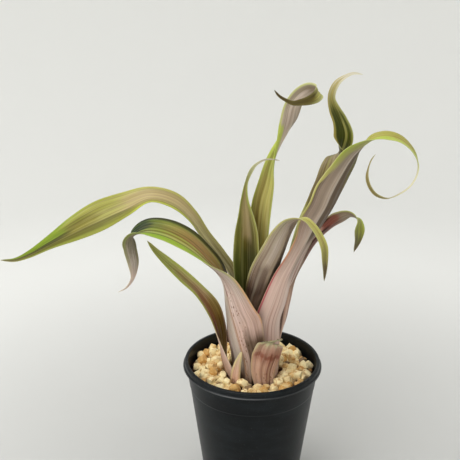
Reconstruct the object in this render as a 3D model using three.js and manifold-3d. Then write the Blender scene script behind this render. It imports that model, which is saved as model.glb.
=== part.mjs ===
// A potted bromeliad: a moulded nursery pot filled with gravel, and a plant whose strap leaves
// stand as a tube of overlapping sheaths on a short stem and arch out above it.
// Millimetres, +Z up. The origin is the centre of the pot's flat underside, on the surface
// that the pot stands on, and the pot's axis is Z.
import * as THREE from 'three';
import { mergeVertices } from 'three/addons/utils/BufferGeometryUtils.js';
import Module from 'manifold-3d';

const wasm = await Module();
wasm.setup();

// Pot
const POT_HEIGHT = 115;
const RIM_TOP_RADIUS = 50.9;
const RIM_LOWER_RADIUS = 52.6;
const RIM_DEPTH = 4.5;
const RIM_INNER_RADIUS = 48.9;
const RIM_BEVEL = 0.8;
const RIM_LEAN = 0.5;
const RIM_SWELL = 0.2;
const COLLAR_TOP_RADIUS = 50.2;
const COLLAR_DEPTH = 16;
const COLLAR_PROUD = 0.4;
const COLLAR_BEVEL = 0.8;
const BASE_RADIUS = 36;
const FOOT_BEVEL = 1;
const WALL = 1.5;
const INNER_DRAFT = 0.3;
const FLOOR = 2.2;
const FOOT_WIDTH = 4;
const HUB_RADIUS = 12;
const CHANNEL_HEIGHT = 1.2;
const DRAIN_HOLES = 8;
const DRAIN_RADIUS = 3.2;
const DRAIN_RING_RADIUS = 22;
const DRAIN_SIDES = 12;
const POT_SIDES = 56;

// Filling
const GRAVEL_TOP = 104.8;
const GRAVEL_MOUND = 1.8;
const GRANULE_PITCH = 7.6;
const GRANULE_RADIUS = 4.4;
const GRANULE_LEAST = 0.55;
const GRANULE_SLACK = 1.15;
const GRANULE_JITTER = 0.3;
const GRANULE_LIFT = 0.9;
const GRANULE_SINK = 0.4;
const GRANULE_SEED = 41;

// Clearances: what touches is modelled this far apart
const SEAT_GAP = 0.3;
const SIDE_GAP = 0.8;
const OUTLINE_SPARE = 0.4;

// Stem axis, and the level that every sheath stands on
const STEM_X = 4;
const STEM_Y = -4;
const SHEATH_FOOT = 98;
const STEM_BOTTOM = 62;
const OUTLINE_STEPS = 40;
const OUTLINE_ABOVE = 6;
const HOLE_ABOVE = 12;
const NEAR_ABOVE = 14;

// Leaf blades
const BLADE_THICKNESS = 1.2;
const EDGE_THICKNESS = 0.75;
const TIP_THICKNESS = 0.65;
const ACROSS = 4;

const degrees = THREE.MathUtils.degToRad;

// One row of a leaf: the midrib's outer side at (x, y, z), the half width along the blade, how far
// the blade wraps round in degrees, and the way that its inner face looks.
function row(x, y, z, halfWidth, wrap, lookX, lookY, lookZ) {
  return {
    point: new THREE.Vector3(x, y, z),
    size: new THREE.Vector3(halfWidth, wrap, 0),
    look: new THREE.Vector3(lookX, lookY, lookZ).normalize(),
  };
}

// A row of a sheath that lies on a circle round the stem axis and looks at the axis.
function ring(azimuth, radius, z, wrap) {
  const angle = degrees(azimuth);
  const x = Math.cos(angle);
  const y = Math.sin(angle);
  const halfWidth = radius * degrees(wrap) / 2;
  return row(STEM_X + radius * x, STEM_Y + radius * y, z, halfWidth, wrap, -x, -y, 0);
}

// The leaves, innermost first. Rows run from the foot of the sheath to the tip.
const LEAVES = {
  leaf_centre: {
    colour: 0x8f8c42,
    steps: 46,
    rows: [
      ring(95, 8.6, 98, 84),
      ring(95, 9.6, 122, 84),
      row(4.5, 7, 145, 7.4, 105, 0, -0.98, 0.05),
      row(3.6, 10.5, 166.5, 7.6, 90, 0, -0.98, 0.1),
      row(3.8, 13.5, 191, 7.8, 80, 0, -0.98, 0.15),
      row(4.6, 16, 214, 8, 80, -0.05, -0.98, 0.15),
      row(6.6, 18, 232.5, 8.1, 90, -0.15, -0.97, 0.15),
      row(10.5, 18, 248.5, 7, 100, -0.4, -0.9, 0.2),
      row(13.5, 16, 263, 5.6, 110, -0.75, -0.6, 0.2),
      row(18, 13, 275, 6.2, 125, -0.95, 0, 0.2),
      row(22.9, 10, 285.5, 8.2, 112, -0.85, 0.5, 0.3),
      row(25.6, 7, 294.2, 9, 80, -0.6, 0.75, 0.35),
      row(27.5, 3, 305.5, 7.8, 55, -0.35, 0.8, 0.45),
      row(33, -2, 313, 7.8, 50, -0.1, 0.75, 0.6),
      row(38, -8, 316.5, 6.4, 45, 0.5, 0.35, 0.75),
      row(40.5, -14, 316, 5, 40, 0.8, -0.4, 0.4),
      row(38, -18, 313, 3.8, 40, 0.6, -0.7, 0.3),
      row(33.5, -19.5, 311, 2.8, 35, 0.3, -0.9, 0.2),
      row(28.5, -20, 310, 2, 30, 0.1, -0.95, 0.1),
      row(23.5, -20, 309.5, 1.4, 25, 0, -0.95, 0.1),
      row(18.5, -19.5, 311.5, 1, 20, 0, -0.95, 0.2),
      row(14.5, -19, 314, 0.8, 15, 0.1, -0.9, 0.3),
      row(11.5, -18, 317.5, 0.5, 10, 0.2, -0.9, 0.3),
    ],
  },
  leaf_centre_left: {
    colour: 0x7d8038,
    steps: 30,
    rows: [
      ring(150, 6.6, 98, 118),
      ring(152, 7.6, 122, 105),
      row(-5.5, -1, 146, 8, 95, 0.5, -0.85, 0.05),
      row(-5.5, 0, 171, 9.6, 90, 0.25, -0.93, 0.1),
      row(-5.5, 3.5, 191.5, 10.4, 75, 0.15, -0.95, 0.15),
      row(-5.5, 6, 211.5, 9.2, 70, 0.15, -0.95, 0.15),
      row(-6, 7.5, 223.5, 6.8, 75, 0.2, -0.95, 0.15),
      row(-7, 8, 237.5, 3.4, 85, 0.3, -0.9, 0.2),
      row(-5.8, 8, 249.5, 1.5, 80, 0.5, -0.8, 0.2),
      row(-2, 7.5, 259, 1.3, 50, 0.2, -0.8, 0.4),
      row(2, 7, 264, 1, 30, -0.2, -0.7, 0.6),
      row(9, 6, 267.5, 0.8, 20, -0.1, -0.5, 0.8),
      row(18, 5, 267, 0.5, 10, 0.1, -0.4, 0.9),
    ],
  },
  leaf_back_right: {
    colour: 0x8c7a52,
    steps: 40,
    rows: [
      ring(10, 7, 98, 95),
      ring(8, 8, 122, 88),
      row(19.5, -4.2, 162, 6.8, 90, -0.75, 0.6, 0.1),
      row(27.5, -3.8, 182, 8.2, 85, -0.65, 0.75, 0.1),
      row(34.5, -3.2, 203.5, 9.2, 75, -0.5, 0.85, 0.2),
      row(40.5, -2.5, 222.5, 10, 60, -0.4, 0.9, 0.2),
      row(49.5, 0.5, 240, 12, 45, -0.35, 0.92, 0.2),
      row(54.2, 5, 253, 10.6, 50, -0.3, 0.93, 0.2),
      row(59.4, 9.5, 267, 9.4, 82, 0.25, 0.94, 0.1),
      row(60.8, 11.2, 275, 9.2, 126, 0.85, -0.5, 0.05),
      row(61.9, 11, 284.5, 7.5, 75, 0.2, -0.97, 0.1),
      row(59.3, 10, 293.5, 5.5, 55, 0.15, -0.95, 0.15),
      row(54.8, 8, 302, 4.1, 50, 0.1, -0.95, 0.2),
      row(52.4, 7, 309, 2.7, 50, 0, -0.95, 0.3),
      row(53, 6, 315, 2.4, 45, -0.1, -0.9, 0.4),
      row(56, 5, 320.5, 2.2, 35, -0.2, -0.8, 0.6),
      row(61, 4, 324.5, 1.4, 25, -0.2, -0.7, 0.7),
      row(66, 3, 326.5, 0.9, 20, -0.1, -0.7, 0.7),
      row(72, 2, 326, 0.5, 10, 0.1, -0.6, 0.8),
    ],
  },
  leaf_inner_right: {
    colour: 0x85756a,
    steps: 34,
    rows: [
      ring(-80, 9.5, 98, 105),
      ring(-80, 10.5, 122, 100),
      row(2, -14, 164.5, 9.2, 100, -0.05, 0.98, 0.05),
      row(5.5, -14.5, 176, 12, 95, -0.3, 0.92, 0.1),
      row(10, -15.5, 190.5, 13.4, 90, -0.4, 0.87, 0.2),
      row(15.8, -17.5, 205.5, 13.4, 85, -0.5, 0.75, 0.4),
      row(20.8, -21, 221, 11.4, 72, -0.45, 0.6, 0.6),
      row(25.5, -26, 231.5, 7.6, 55, -0.2, 0.4, 0.9),
      row(32, -30, 234, 5.4, 45, 0.3, 0, 0.95),
      row(38, -32, 229.5, 3.8, 40, 0.65, -0.45, 0.6),
      row(42.5, -33, 223, 3.6, 40, 0.75, -0.6, 0.3),
      row(45.5, -34, 215.5, 3.6, 40, 0.7, -0.7, 0.1),
      row(46.5, -34, 207, 2.8, 35, 0.6, -0.8, 0.1),
      row(47, -34, 199, 1.6, 30, 0.5, -0.85, 0.1),
      row(47, -33.5, 191.5, 0.5, 10, 0.5, -0.85, 0.1),
    ],
  },
  leaf_far_left: {
    colour: 0x9c9150,
    steps: 38,
    rows: [
      ring(165, 12, 98, 105),
      ring(165, 13, 122, 100),
      row(-13.7, 0.4, 150, 9.4, 88, 0.97, -0.2, 0.1),
      row(-15.3, 9.3, 176.5, 8, 88, 0.9, -0.3, 0.3),
      row(-25, 10.4, 193.5, 7, 90, 0.7, -0.35, 0.5),
      row(-36.5, 10.5, 209.5, 6.4, 85, 0.6, -0.4, 0.6),
      row(-46.5, 10, 225, 7, 80, 0.5, -0.4, 0.7),
      row(-58, 9, 235.5, 8.4, 70, 0.3, -0.45, 0.85),
      row(-74.5, 7, 240, 9.6, 60, 0, -0.4, 0.95),
      row(-92, 4, 233.6, 11.6, 60, -0.2, -0.6, 0.75),
      row(-109.5, 0, 226.6, 12.8, 60, -0.28, -0.72, 0.65),
      row(-127.5, -3, 218, 10.8, 60, -0.35, -0.7, 0.65),
      row(-145.5, -5, 208.8, 6.4, 55, -0.4, -0.65, 0.65),
      row(-160.5, -6, 200.8, 3.7, 40, -0.35, -0.55, 0.8),
      row(-172, -6, 196.6, 1.8, 20, -0.1, -0.45, 0.9),
      row(-182, -6, 196.5, 0.5, 10, 0.1, -0.4, 0.9),
    ],
  },
  leaf_low_right: {
    colour: 0x9d7a68,
    steps: 32,
    rows: [
      ring(36, 15, 98, 58),
      ring(33, 16.3, 118, 56),
      row(24, 3.6, 142, 7.6, 90, -0.85, 0.35, 0.1),
      row(27, 7.2, 157, 7.4, 90, -0.75, 0.55, 0.2),
      row(30.5, 10, 174.5, 7.8, 85, -0.65, 0.6, 0.3),
      row(37, 12, 189.5, 7.8, 78, -0.5, 0.7, 0.4),
      row(45, 13, 204, 7.6, 72, -0.45, 0.75, 0.45),
      row(55.3, 12.8, 215, 8.6, 65, -0.4, 0.7, 0.55),
      row(63, 11, 221.8, 8.8, 58, -0.3, 0.8, 0.5),
      row(69.5, 8, 226, 6.4, 50, 0.1, 0.6, 0.75),
      row(75, 4, 224, 5.4, 45, 0.85, -0.2, 0.5),
      row(75.8, 2, 216.5, 5.2, 40, 0.6, -0.78, 0.15),
      row(75.2, 1.5, 208.5, 3.4, 35, 0.6, -0.78, 0.1),
      row(73, 1, 200, 0.5, 10, 0.6, -0.8, 0),
    ],
  },
  leaf_main_right: {
    colour: 0x8a7b70,
    steps: 60,
    rows: [
      ring(-54, 15, 98, 98),
      ring(-52, 15.8, 120, 98),
      row(13.5, -16, 150, 13.6, 110, -0.55, 0.83, 0),
      row(18, -16.5, 168, 12.6, 105, -0.5, 0.85, 0.1),
      row(23, -15, 185.5, 10.4, 95, -0.55, 0.8, 0.15),
      row(30, -13.5, 200.5, 8.8, 90, -0.6, 0.75, 0.25),
      row(36.5, -12, 213, 9.4, 80, -0.5, 0.8, 0.3),
      row(41.8, -11, 224.8, 12, 75, -0.4, 0.85, 0.3),
      row(48.4, -9, 236.3, 12.3, 68, -0.4, 0.85, 0.3),
      row(53.4, -7, 247.8, 12.7, 62, -0.4, 0.85, 0.3),
      row(60.2, -5.5, 260.8, 11.2, 46, -0.4, 0.8, 0.4),
      row(67.4, -4, 272, 10.6, 42, -0.45, 0.7, 0.5),
      row(76.4, -3, 280.4, 7.4, 62, -0.4, 0.33, 0.82),
      row(83, -3, 284.4, 4.8, 60, -0.15, -0.25, 0.92),
      row(90.5, -3, 285.3, 4.6, 40, 0.1, -0.5, 0.85),
      row(98, -3.5, 283.5, 4.4, 40, 0.4, -0.5, 0.75),
      row(104.3, -4, 279.3, 3.9, 35, 0.7, -0.45, 0.55),
      row(109.6, -4.5, 273, 3, 35, 0.85, -0.4, 0.3),
      row(112.2, -5, 266, 2.2, 30, 0.98, -0.15, 0),
      row(111.6, -5.5, 258.5, 2, 30, 0.9, -0.15, -0.4),
      row(107.5, -6, 251, 1.8, 30, 0.65, -0.15, -0.75),
      row(100.5, -7, 246, 1.7, 30, 0.3, -0.15, -0.95),
      row(92.5, -8, 243, 1.6, 25, -0.1, -0.4, -0.9),
      row(84.5, -8.5, 245.5, 1.7, 25, -0.5, -0.65, -0.6),
      row(79.5, -9, 251, 1.6, 20, -0.7, -0.65, -0.4),
      row(77, -9, 258, 1.4, 20, -0.8, -0.6, 0),
      row(77.5, -9, 265, 1, 15, -0.9, -0.2, 0.4),
      row(79, -9, 270, 0.8, 15, -0.8, -0.2, 0.55),
      row(81.5, -9, 274, 0.5, 10, -0.7, -0.2, 0.6),
    ],
  },
  leaf_front_left: {
    colour: 0xb79a8f,
    steps: 38,
    rows: [
      ring(237, 17.6, 98, 106),
      ring(235, 19.5, 121, 112),
      row(-11.8, -18.4, 140, 20.8, 118, 0.65, 0.76, 0.02),
      row(-16.4, -15.8, 158, 23.6, 122, 0.84, 0.54, 0.1),
      row(-22.6, -15.6, 185, 16.4, 108, 0.85, 0.25, 0.45),
      row(-34, -15, 200, 12, 85, 0.5, -0.2, 0.8),
      row(-47.5, -15.5, 213, 11.6, 70, 0.3, -0.4, 0.85),
      row(-62, -15, 220.5, 11, 60, 0.1, -0.45, 0.9),
      row(-74.5, -16, 222.5, 10, 55, -0.2, -0.35, 0.9),
      row(-84.6, -18, 217.8, 8.2, 92, -0.66, 0.12, 0.5),
      row(-85.4, -17.8, 209.5, 6, 60, -0.72, 0.62, 0.1),
      row(-84, -19, 198.5, 4.4, 40, -0.6, 0.75, -0.1),
      row(-85, -19, 188.5, 2.2, 30, -0.7, 0.6, 0.2),
      row(-90, -20, 181, 1.2, 20, -0.5, 0.5, 0.5),
      row(-96, -21, 178, 0.5, 10, -0.2, 0.4, 0.8),
    ],
  },
  leaf_low_left: {
    colour: 0x94843f,
    steps: 22,
    rows: [
      ring(195, 20.3, 98, 70),
      row(-22.1, -9.6, 116, 14.5, 79, 0.98, 0.17, 0.1),
      row(-25.6, -7, 140, 11.2, 66, 0.93, -0.25, 0.25),
      row(-31, -9.5, 159.5, 8.6, 68, 0.7, -0.5, 0.5),
      row(-40, -11, 174.5, 5.6, 68, 0.55, -0.6, 0.6),
      row(-51.5, -13, 187.5, 5, 60, 0.45, -0.65, 0.6),
      row(-62, -15, 199, 3.8, 50, 0.4, -0.65, 0.65),
      row(-69.5, -16, 207.5, 2.2, 40, 0.4, -0.65, 0.65),
      row(-74.5, -17, 215, 0.5, 15, 0.4, -0.65, 0.65),
    ],
  },
  cut_leaf_stub: {
    colour: 0xa98473,
    steps: 12,
    rows: [
      row(9.5, -25, 98, 6, 60, -0.15, 0.98, 0),
      row(8, -25.5, 117, 9.6, 70, -0.15, 0.97, 0.1),
      row(10, -27, 128, 11.6, 75, -0.15, 0.97, 0.2),
      row(11.2, -28.6, 134, 11.4, 70, -0.15, 0.95, 0.3),
      row(12.2, -30, 139, 10.8, 60, -0.15, 0.9, 0.4),
      row(13.2, -29.4, 142.6, 9.6, 45, -0.15, 0.55, 0.8),
      row(12.4, -27, 143.6, 5.4, 35, -0.1, 0.1, 0.98),
    ],
  },
  dry_bract: {
    colour: 0xb0907c,
    steps: 9,
    rows: [
      row(-12.8, -22.8, 98, 3.4, 70, 0.2, 0.95, 0),
      row(-13.2, -24.6, 112, 3.5, 60, 0.2, 0.95, 0.1),
      row(-11.6, -25, 123, 2.6, 50, 0.1, 0.95, 0.2),
      row(-8.8, -25.5, 133.5, 0.6, 20, 0.1, 0.95, 0.2),
    ],
  },
};

// A smooth curve through one quantity of the rows.
function through(rows, key, type) {
  return new THREE.CatmullRomCurve3(rows.map((r) => r[key]), false, type, 0.5);
}

// The blade's cross-sections: at each step the points of its inner and its outer face, from one
// margin to the other, bent on an arc that opens the way the inner face looks.
function sections({ rows, steps }) {
  const path = through(rows, 'point', 'centripetal');
  const size = through(rows, 'size', 'catmullrom');
  const look = through(rows, 'look', 'catmullrom');
  path.arcLengthDivisions = 600;
  const result = [];
  for (let step = 0; step <= steps; step += 1) {
    const u = step / steps;
    const t = path.getUtoTmapping(u);
    const centre = path.getPoint(t);
    const along = path.getTangent(t);
    const inward = look.getPoint(t);
    inward.addScaledVector(along, -inward.dot(along)).normalize();
    const across = new THREE.Vector3().crossVectors(along, inward);
    const { x: halfWidth, y: wrap } = size.getPoint(t);
    const half = degrees(Math.max(wrap, 2)) / 2;
    const radius = Math.max(halfWidth, 0.4) / half;
    const inner = [];
    const outer = [];
    for (let j = 0; j <= ACROSS; j += 1) {
      const s = 2 * j / ACROSS - 1;
      const angle = s * half;
      const middle = centre.clone()
        .addScaledVector(across, radius * Math.sin(angle))
        .addScaledVector(inward, radius * (1 - Math.cos(angle)));
      const normal = across.clone().multiplyScalar(-Math.sin(angle))
        .addScaledVector(inward, Math.cos(angle));
      const middleThickness = THREE.MathUtils.lerp(BLADE_THICKNESS, TIP_THICKNESS, u * u);
      const edge = Math.min(EDGE_THICKNESS, middleThickness);
      const thickness = THREE.MathUtils.lerp(middleThickness, edge, s * s);
      inner.push(middle.clone().addScaledVector(normal, thickness / 2));
      outer.push(middle.clone().addScaledVector(normal, -thickness / 2));
    }
    if (step === 0) {
      for (const point of [...inner, ...outer]) {
        point.addScaledVector(along, (SHEATH_FOOT - point.z) / along.z);
      }
    }
    result.push({ inner, outer });
  }
  return result;
}

// A closed blade: its two faces are split into triangles alike, and joined by the two margins,
// the foot and the tip.
function bladeGeometry(leaf) {
  const rings = sections(leaf).map(({ inner, outer }) => [...inner, ...[...outer].reverse()]);
  return loft(rings, true);
}

// A closed solid through rings of points, each ring the same way round and of the same length.
// A blade's ends are zipped flat from one side to the other, and any other end is a fan.
function loft(rings, blade) {
  const count = rings[0].length;
  const positions = [];
  const push = (...points) => points.forEach((p) => positions.push(p.x, p.y, p.z));
  for (let i = 0; i + 1 < rings.length; i += 1) {
    for (let j = 0; j < count; j += 1) {
      const next = (j + 1) % count;
      const a = rings[i][j];
      const b = rings[i][next];
      const c = rings[i + 1][next];
      const d = rings[i + 1][j];
      const outerFace = blade && j >= count / 2;
      if (outerFace) {
        push(a, b, d);
        push(b, c, d);
      } else {
        push(a, b, c);
        push(a, c, d);
      }
    }
  }
  const first = rings[0];
  const last = rings[rings.length - 1];
  if (blade) {
    for (let j = 0; j < count / 2 - 1; j += 1) {
      const k = count - 1 - j;
      push(first[j], first[k], first[k - 1]);
      push(first[j], first[k - 1], first[j + 1]);
      push(last[j], last[k - 1], last[k]);
      push(last[j], last[j + 1], last[k - 1]);
    }
  } else {
    const middle = (ring_) => ring_.reduce((sum, p) => sum.add(p), new THREE.Vector3())
      .divideScalar(count);
    const low = middle(first);
    const high = middle(last);
    for (let j = 0; j < count; j += 1) {
      const next = (j + 1) % count;
      push(low, first[next], first[j]);
      push(high, last[j], last[next]);
    }
  }
  const geometry = new THREE.BufferGeometry();
  geometry.setAttribute('position', new THREE.Float32BufferAttribute(positions, 3));
  return mergeVertices(geometry, 1e-4);
}

// Between three.js geometry and a solid that can be joined and cut.
function toSolid(geometry) {
  const bare = geometry.clone();
  bare.deleteAttribute('normal');
  bare.deleteAttribute('uv');
  const merged = mergeVertices(bare, 1e-4);
  const index = merged.index.array;
  const triangles = [];
  for (let i = 0; i < index.length; i += 3) {
    const [a, b, c] = [index[i], index[i + 1], index[i + 2]];
    if (a !== b && b !== c && c !== a) {
      triangles.push(a, b, c);
    }
  }
  return new wasm.Manifold(new wasm.Mesh({
    numProp: 3,
    vertProperties: new Float32Array(merged.attributes.position.array),
    triVerts: new Uint32Array(triangles),
  }));
}

function toGeometry(solid) {
  const mesh = solid.getMesh();
  const geometry = new THREE.BufferGeometry();
  geometry.setAttribute('position', new THREE.BufferAttribute(new Float32Array(mesh.vertProperties), 3));
  geometry.setIndex(new THREE.BufferAttribute(new Uint32Array(mesh.triVerts), 1));
  return geometry;
}

// A turned shape from [radius, height] pairs that start and end on the axis.
function turned(profile, sides) {
  const points = profile.map(([r, z]) => new THREE.Vector2(r, z));
  return new THREE.LatheGeometry(points, sides).rotateX(Math.PI / 2);
}

// The inner wall's radius at a height.
function innerRadius(z) {
  const t = (z - FLOOR) / (POT_HEIGHT - FLOOR);
  return THREE.MathUtils.lerp(BASE_RADIUS - WALL - INNER_DRAFT, RIM_INNER_RADIUS, t);
}

function potGeometry() {
  const rimBottom = POT_HEIGHT - RIM_DEPTH;
  const collarBottom = rimBottom - COLLAR_DEPTH;
  const slope = (COLLAR_TOP_RADIUS - BASE_RADIUS) / rimBottom;
  const bodyAtCollar = COLLAR_TOP_RADIUS - slope * COLLAR_DEPTH;
  const footInner = BASE_RADIUS - FOOT_BEVEL - FOOT_WIDTH;
  const profile = [
    [0, 0],
    [HUB_RADIUS, 0],
    [HUB_RADIUS + FOOT_BEVEL, CHANNEL_HEIGHT],
    [footInner - FOOT_BEVEL, CHANNEL_HEIGHT],
    [footInner, 0],
    [BASE_RADIUS - FOOT_BEVEL, 0],
    [BASE_RADIUS, FOOT_BEVEL],
    [bodyAtCollar - COLLAR_PROUD, collarBottom],
    [bodyAtCollar, collarBottom + COLLAR_BEVEL],
    [COLLAR_TOP_RADIUS, rimBottom],
    [RIM_LOWER_RADIUS, rimBottom],
    [RIM_LOWER_RADIUS + RIM_SWELL, rimBottom + RIM_BEVEL],
    [RIM_TOP_RADIUS + RIM_LEAN, POT_HEIGHT - RIM_BEVEL],
    [RIM_TOP_RADIUS, POT_HEIGHT],
    [RIM_INNER_RADIUS + RIM_LEAN, POT_HEIGHT],
    [RIM_INNER_RADIUS, POT_HEIGHT - RIM_BEVEL],
    [innerRadius(FLOOR + CHANNEL_HEIGHT), FLOOR + CHANNEL_HEIGHT],
    [0, FLOOR + CHANNEL_HEIGHT],
  ];
  let pot = toSolid(turned(profile, POT_SIDES));
  for (let k = 0; k < DRAIN_HOLES; k += 1) {
    const angle = 2 * Math.PI * k / DRAIN_HOLES;
    const hole = new THREE.CylinderGeometry(DRAIN_RADIUS, DRAIN_RADIUS, 4 * FLOOR, DRAIN_SIDES);
    hole.rotateX(Math.PI / 2);
    hole.translate(DRAIN_RING_RADIUS * Math.cos(angle), DRAIN_RING_RADIUS * Math.sin(angle), FLOOR);
    pot = pot.subtract(toSolid(hole));
  }
  return toGeometry(pot);
}

// How far the plant reaches from the stem axis in each direction, between the foot of the
// sheaths and a little above the gravel. The hole in the gravel follows it.
function plantOutline(blades) {
  const reach = new Array(OUTLINE_STEPS).fill(0);
  for (const geometry of blades) {
    const p = geometry.attributes.position;
    for (let i = 0; i < p.count; i += 1) {
      const x = p.getX(i) - STEM_X;
      const y = p.getY(i) - STEM_Y;
      if (p.getZ(i) < GRAVEL_TOP + OUTLINE_ABOVE) {
        const turn = (Math.atan2(y, x) / (2 * Math.PI) + 1) % 1;
        const bin = Math.round(turn * OUTLINE_STEPS) % OUTLINE_STEPS;
        reach[bin] = Math.max(reach[bin], Math.hypot(x, y));
      }
    }
  }
  const at = (list, i) => list[(i + OUTLINE_STEPS) % OUTLINE_STEPS];
  const widest = reach.map((r, i) => Math.max(at(reach, i - 1), r, at(reach, i + 1)));
  return widest.map((r, i) => {
    const smoothed = (at(widest, i - 1) + 2 * r + at(widest, i + 1)) / 4;
    return smoothed + SIDE_GAP + OUTLINE_SPARE;
  });
}

// A ring of the plant's outline at a height, drawn in or let out.
function outlineRing(outline, z, scale, offset) {
  return outline.map((reach, i) => {
    const angle = 2 * Math.PI * i / OUTLINE_STEPS;
    const r = reach * scale + offset;
    return new THREE.Vector3(STEM_X + r * Math.cos(angle), STEM_Y + r * Math.sin(angle), z);
  });
}

// Heights and widths of the short stem, as [height, share of the outline]. It narrows downwards.
const STEM_LEVELS = [
  [STEM_BOTTOM, 0.25],
  [STEM_BOTTOM + 5, 0.42],
  [STEM_BOTTOM + 18, 0.6],
  [SHEATH_FOOT - 8, 0.9],
  [SHEATH_FOOT - SEAT_GAP, 1],
];

function stemGeometry(outline) {
  return loft(STEM_LEVELS.map(([z, share]) => outlineRing(outline, z, share, -SIDE_GAP)), false);
}

// A small seeded generator of numbers from 0 to 1.
function seeded(seed) {
  let state = seed;
  return () => {
    state = (state * 1664525 + 1013904223) % 4294967296;
    return state / 4294967296;
  };
}

// The gravel's level, which rises a little from the wall towards the plant.
function gravelLevel(radius) {
  return GRAVEL_TOP + GRAVEL_MOUND * (1 - Math.min(radius / innerRadius(GRAVEL_TOP), 1));
}

// Angular granules in a jittered close-packed pattern over the gravel's top, each clear of the
// plant and of the pot's wall and sunk by more than half.
function granules(blades) {
  const random = seeded(GRANULE_SEED);
  const near = [];
  for (const geometry of blades) {
    const p = geometry.attributes.position;
    for (let i = 0; i < p.count; i += 1) {
      if (p.getZ(i) < GRAVEL_TOP + NEAR_ABOVE) {
        near.push(new THREE.Vector3().fromBufferAttribute(p, i));
      }
    }
  }
  const wall = innerRadius(GRAVEL_TOP) - SEAT_GAP;
  const wholeTurn = 2 * Math.PI;
  const rowHeight = GRANULE_PITCH * Math.sqrt(3) / 2;
  const lines = Math.ceil(wall / rowHeight);
  const solids = [];
  for (let line = -lines; line <= lines; line += 1) {
    for (let place = -lines; place <= lines; place += 1) {
      const jitter = () => (random() - 0.5) * GRANULE_PITCH * GRANULE_JITTER;
      const x = (place + (line % 2) / 2) * GRANULE_PITCH + jitter();
      const y = line * rowHeight + jitter();
      const level = gravelLevel(Math.hypot(x, y)) + random() * GRANULE_LIFT - GRANULE_SINK;
      const centre = new THREE.Vector3(x, y, level);
      const turn = new THREE.Euler(random() * wholeTurn, random() * wholeTurn, random() * wholeTurn);
      const size = GRANULE_RADIUS * (0.88 + 0.24 * random());
      const stretch = [0.9 + 0.25 * random(), 0.85 + 0.2 * random(), 0.75 + 0.2 * random()];
      const toPlant = near.reduce((least, p) => Math.min(least, p.distanceTo(centre)), wall) - SIDE_GAP;
      const toWall = wall - Math.hypot(x, y);
      const room = Math.min(size, toPlant, toWall);
      if (room > GRANULE_LEAST * GRANULE_RADIUS) {
        const stone = new THREE.IcosahedronGeometry(room / GRANULE_SLACK, 0);
        stone.scale(stretch[0], stretch[1], stretch[2]);
        stone.applyMatrix4(new THREE.Matrix4().makeRotationFromEuler(turn));
        stone.translate(centre.x, centre.y, centre.z);
        solids.push(toSolid(stone));
      }
    }
  }
  return solids;
}

function gravelGeometry(outline, blades) {
  const bottom = FLOOR + CHANNEL_HEIGHT + SEAT_GAP;
  const profile = [
    [0, bottom],
    [innerRadius(bottom) - SEAT_GAP, bottom],
    [innerRadius(GRAVEL_TOP) - SEAT_GAP, GRAVEL_TOP],
    [0, GRAVEL_TOP + GRAVEL_MOUND],
  ];
  let gravel = toSolid(turned(profile, POT_SIDES));
  for (const stone of granules(blades)) {
    gravel = gravel.add(stone);
  }
  const levels = STEM_LEVELS.map(([z, share]) => outlineRing(outline, z, share, 0));
  levels[0] = outlineRing(outline, STEM_BOTTOM - SEAT_GAP, STEM_LEVELS[0][1], 0);
  levels.push(outlineRing(outline, GRAVEL_TOP + HOLE_ABOVE, 1, 0));
  const hole = toSolid(loft(levels, false));
  return toGeometry(gravel.subtract(hole));
}

function named(name, geometry, colour, roughness) {
  geometry.computeVertexNormals();
  const material = new THREE.MeshStandardMaterial({ color: colour, roughness, metalness: 0 });
  const mesh = new THREE.Mesh(geometry, material);
  mesh.name = name;
  return mesh;
}

const plant = new THREE.Group();
const blades = [];
for (const [name, leaf] of Object.entries(LEAVES)) {
  const geometry = bladeGeometry(leaf);
  blades.push(geometry);
  plant.add(named(name, geometry, leaf.colour, 0.5));
}
const outline = plantOutline(blades);
plant.add(named('stem_base', stemGeometry(outline), 0x6b4f38, 0.8));

const pottedPlant = new THREE.Group();
pottedPlant.add(named('pot', potGeometry(), 0x24282c, 0.55));
pottedPlant.add(named('gravel', gravelGeometry(outline, blades), 0xd9b47a, 0.85));
pottedPlant.add(plant);

export default pottedPlant;
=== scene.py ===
"""A potted bromeliad: strap leaves that stand as a tube of pink sheaths in a gravel-filled nursery pot.

Metres, +Z up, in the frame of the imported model: the origin is the centre of the pot's underside.
The leaf tables are in millimetres, which become metres where a blade's mesh is made.
"""
import math
import random

import bmesh
import bpy
import numpy as np
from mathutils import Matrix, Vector


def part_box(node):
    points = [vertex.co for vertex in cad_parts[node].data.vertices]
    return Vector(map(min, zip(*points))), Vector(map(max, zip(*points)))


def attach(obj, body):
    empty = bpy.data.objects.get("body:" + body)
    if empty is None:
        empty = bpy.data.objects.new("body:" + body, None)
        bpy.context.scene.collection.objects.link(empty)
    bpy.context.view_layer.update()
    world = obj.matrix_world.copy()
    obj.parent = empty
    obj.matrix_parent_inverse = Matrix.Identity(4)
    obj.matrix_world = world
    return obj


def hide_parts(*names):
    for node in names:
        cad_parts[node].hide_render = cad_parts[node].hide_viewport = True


bl_info = {
    "name": "Potted Bromeliad",
    "version": (1, 0, 0),
    "blender": (4, 5, 0),
    "location": "3D View > Sidebar > Bromeliad",
    "description": "Builds a bromeliad in a gravel-filled nursery pot, with its studio",
    "category": "Add Mesh",
}

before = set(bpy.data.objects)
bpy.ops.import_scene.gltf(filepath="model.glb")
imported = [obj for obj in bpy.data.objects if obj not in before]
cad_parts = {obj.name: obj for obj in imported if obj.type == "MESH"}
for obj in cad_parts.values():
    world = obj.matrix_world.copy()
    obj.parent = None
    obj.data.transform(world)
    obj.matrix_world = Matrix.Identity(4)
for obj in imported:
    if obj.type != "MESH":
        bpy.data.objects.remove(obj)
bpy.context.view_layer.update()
POT_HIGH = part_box("pot")[1]
GRAVEL_LOW, GRAVEL_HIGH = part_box("gravel")

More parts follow.
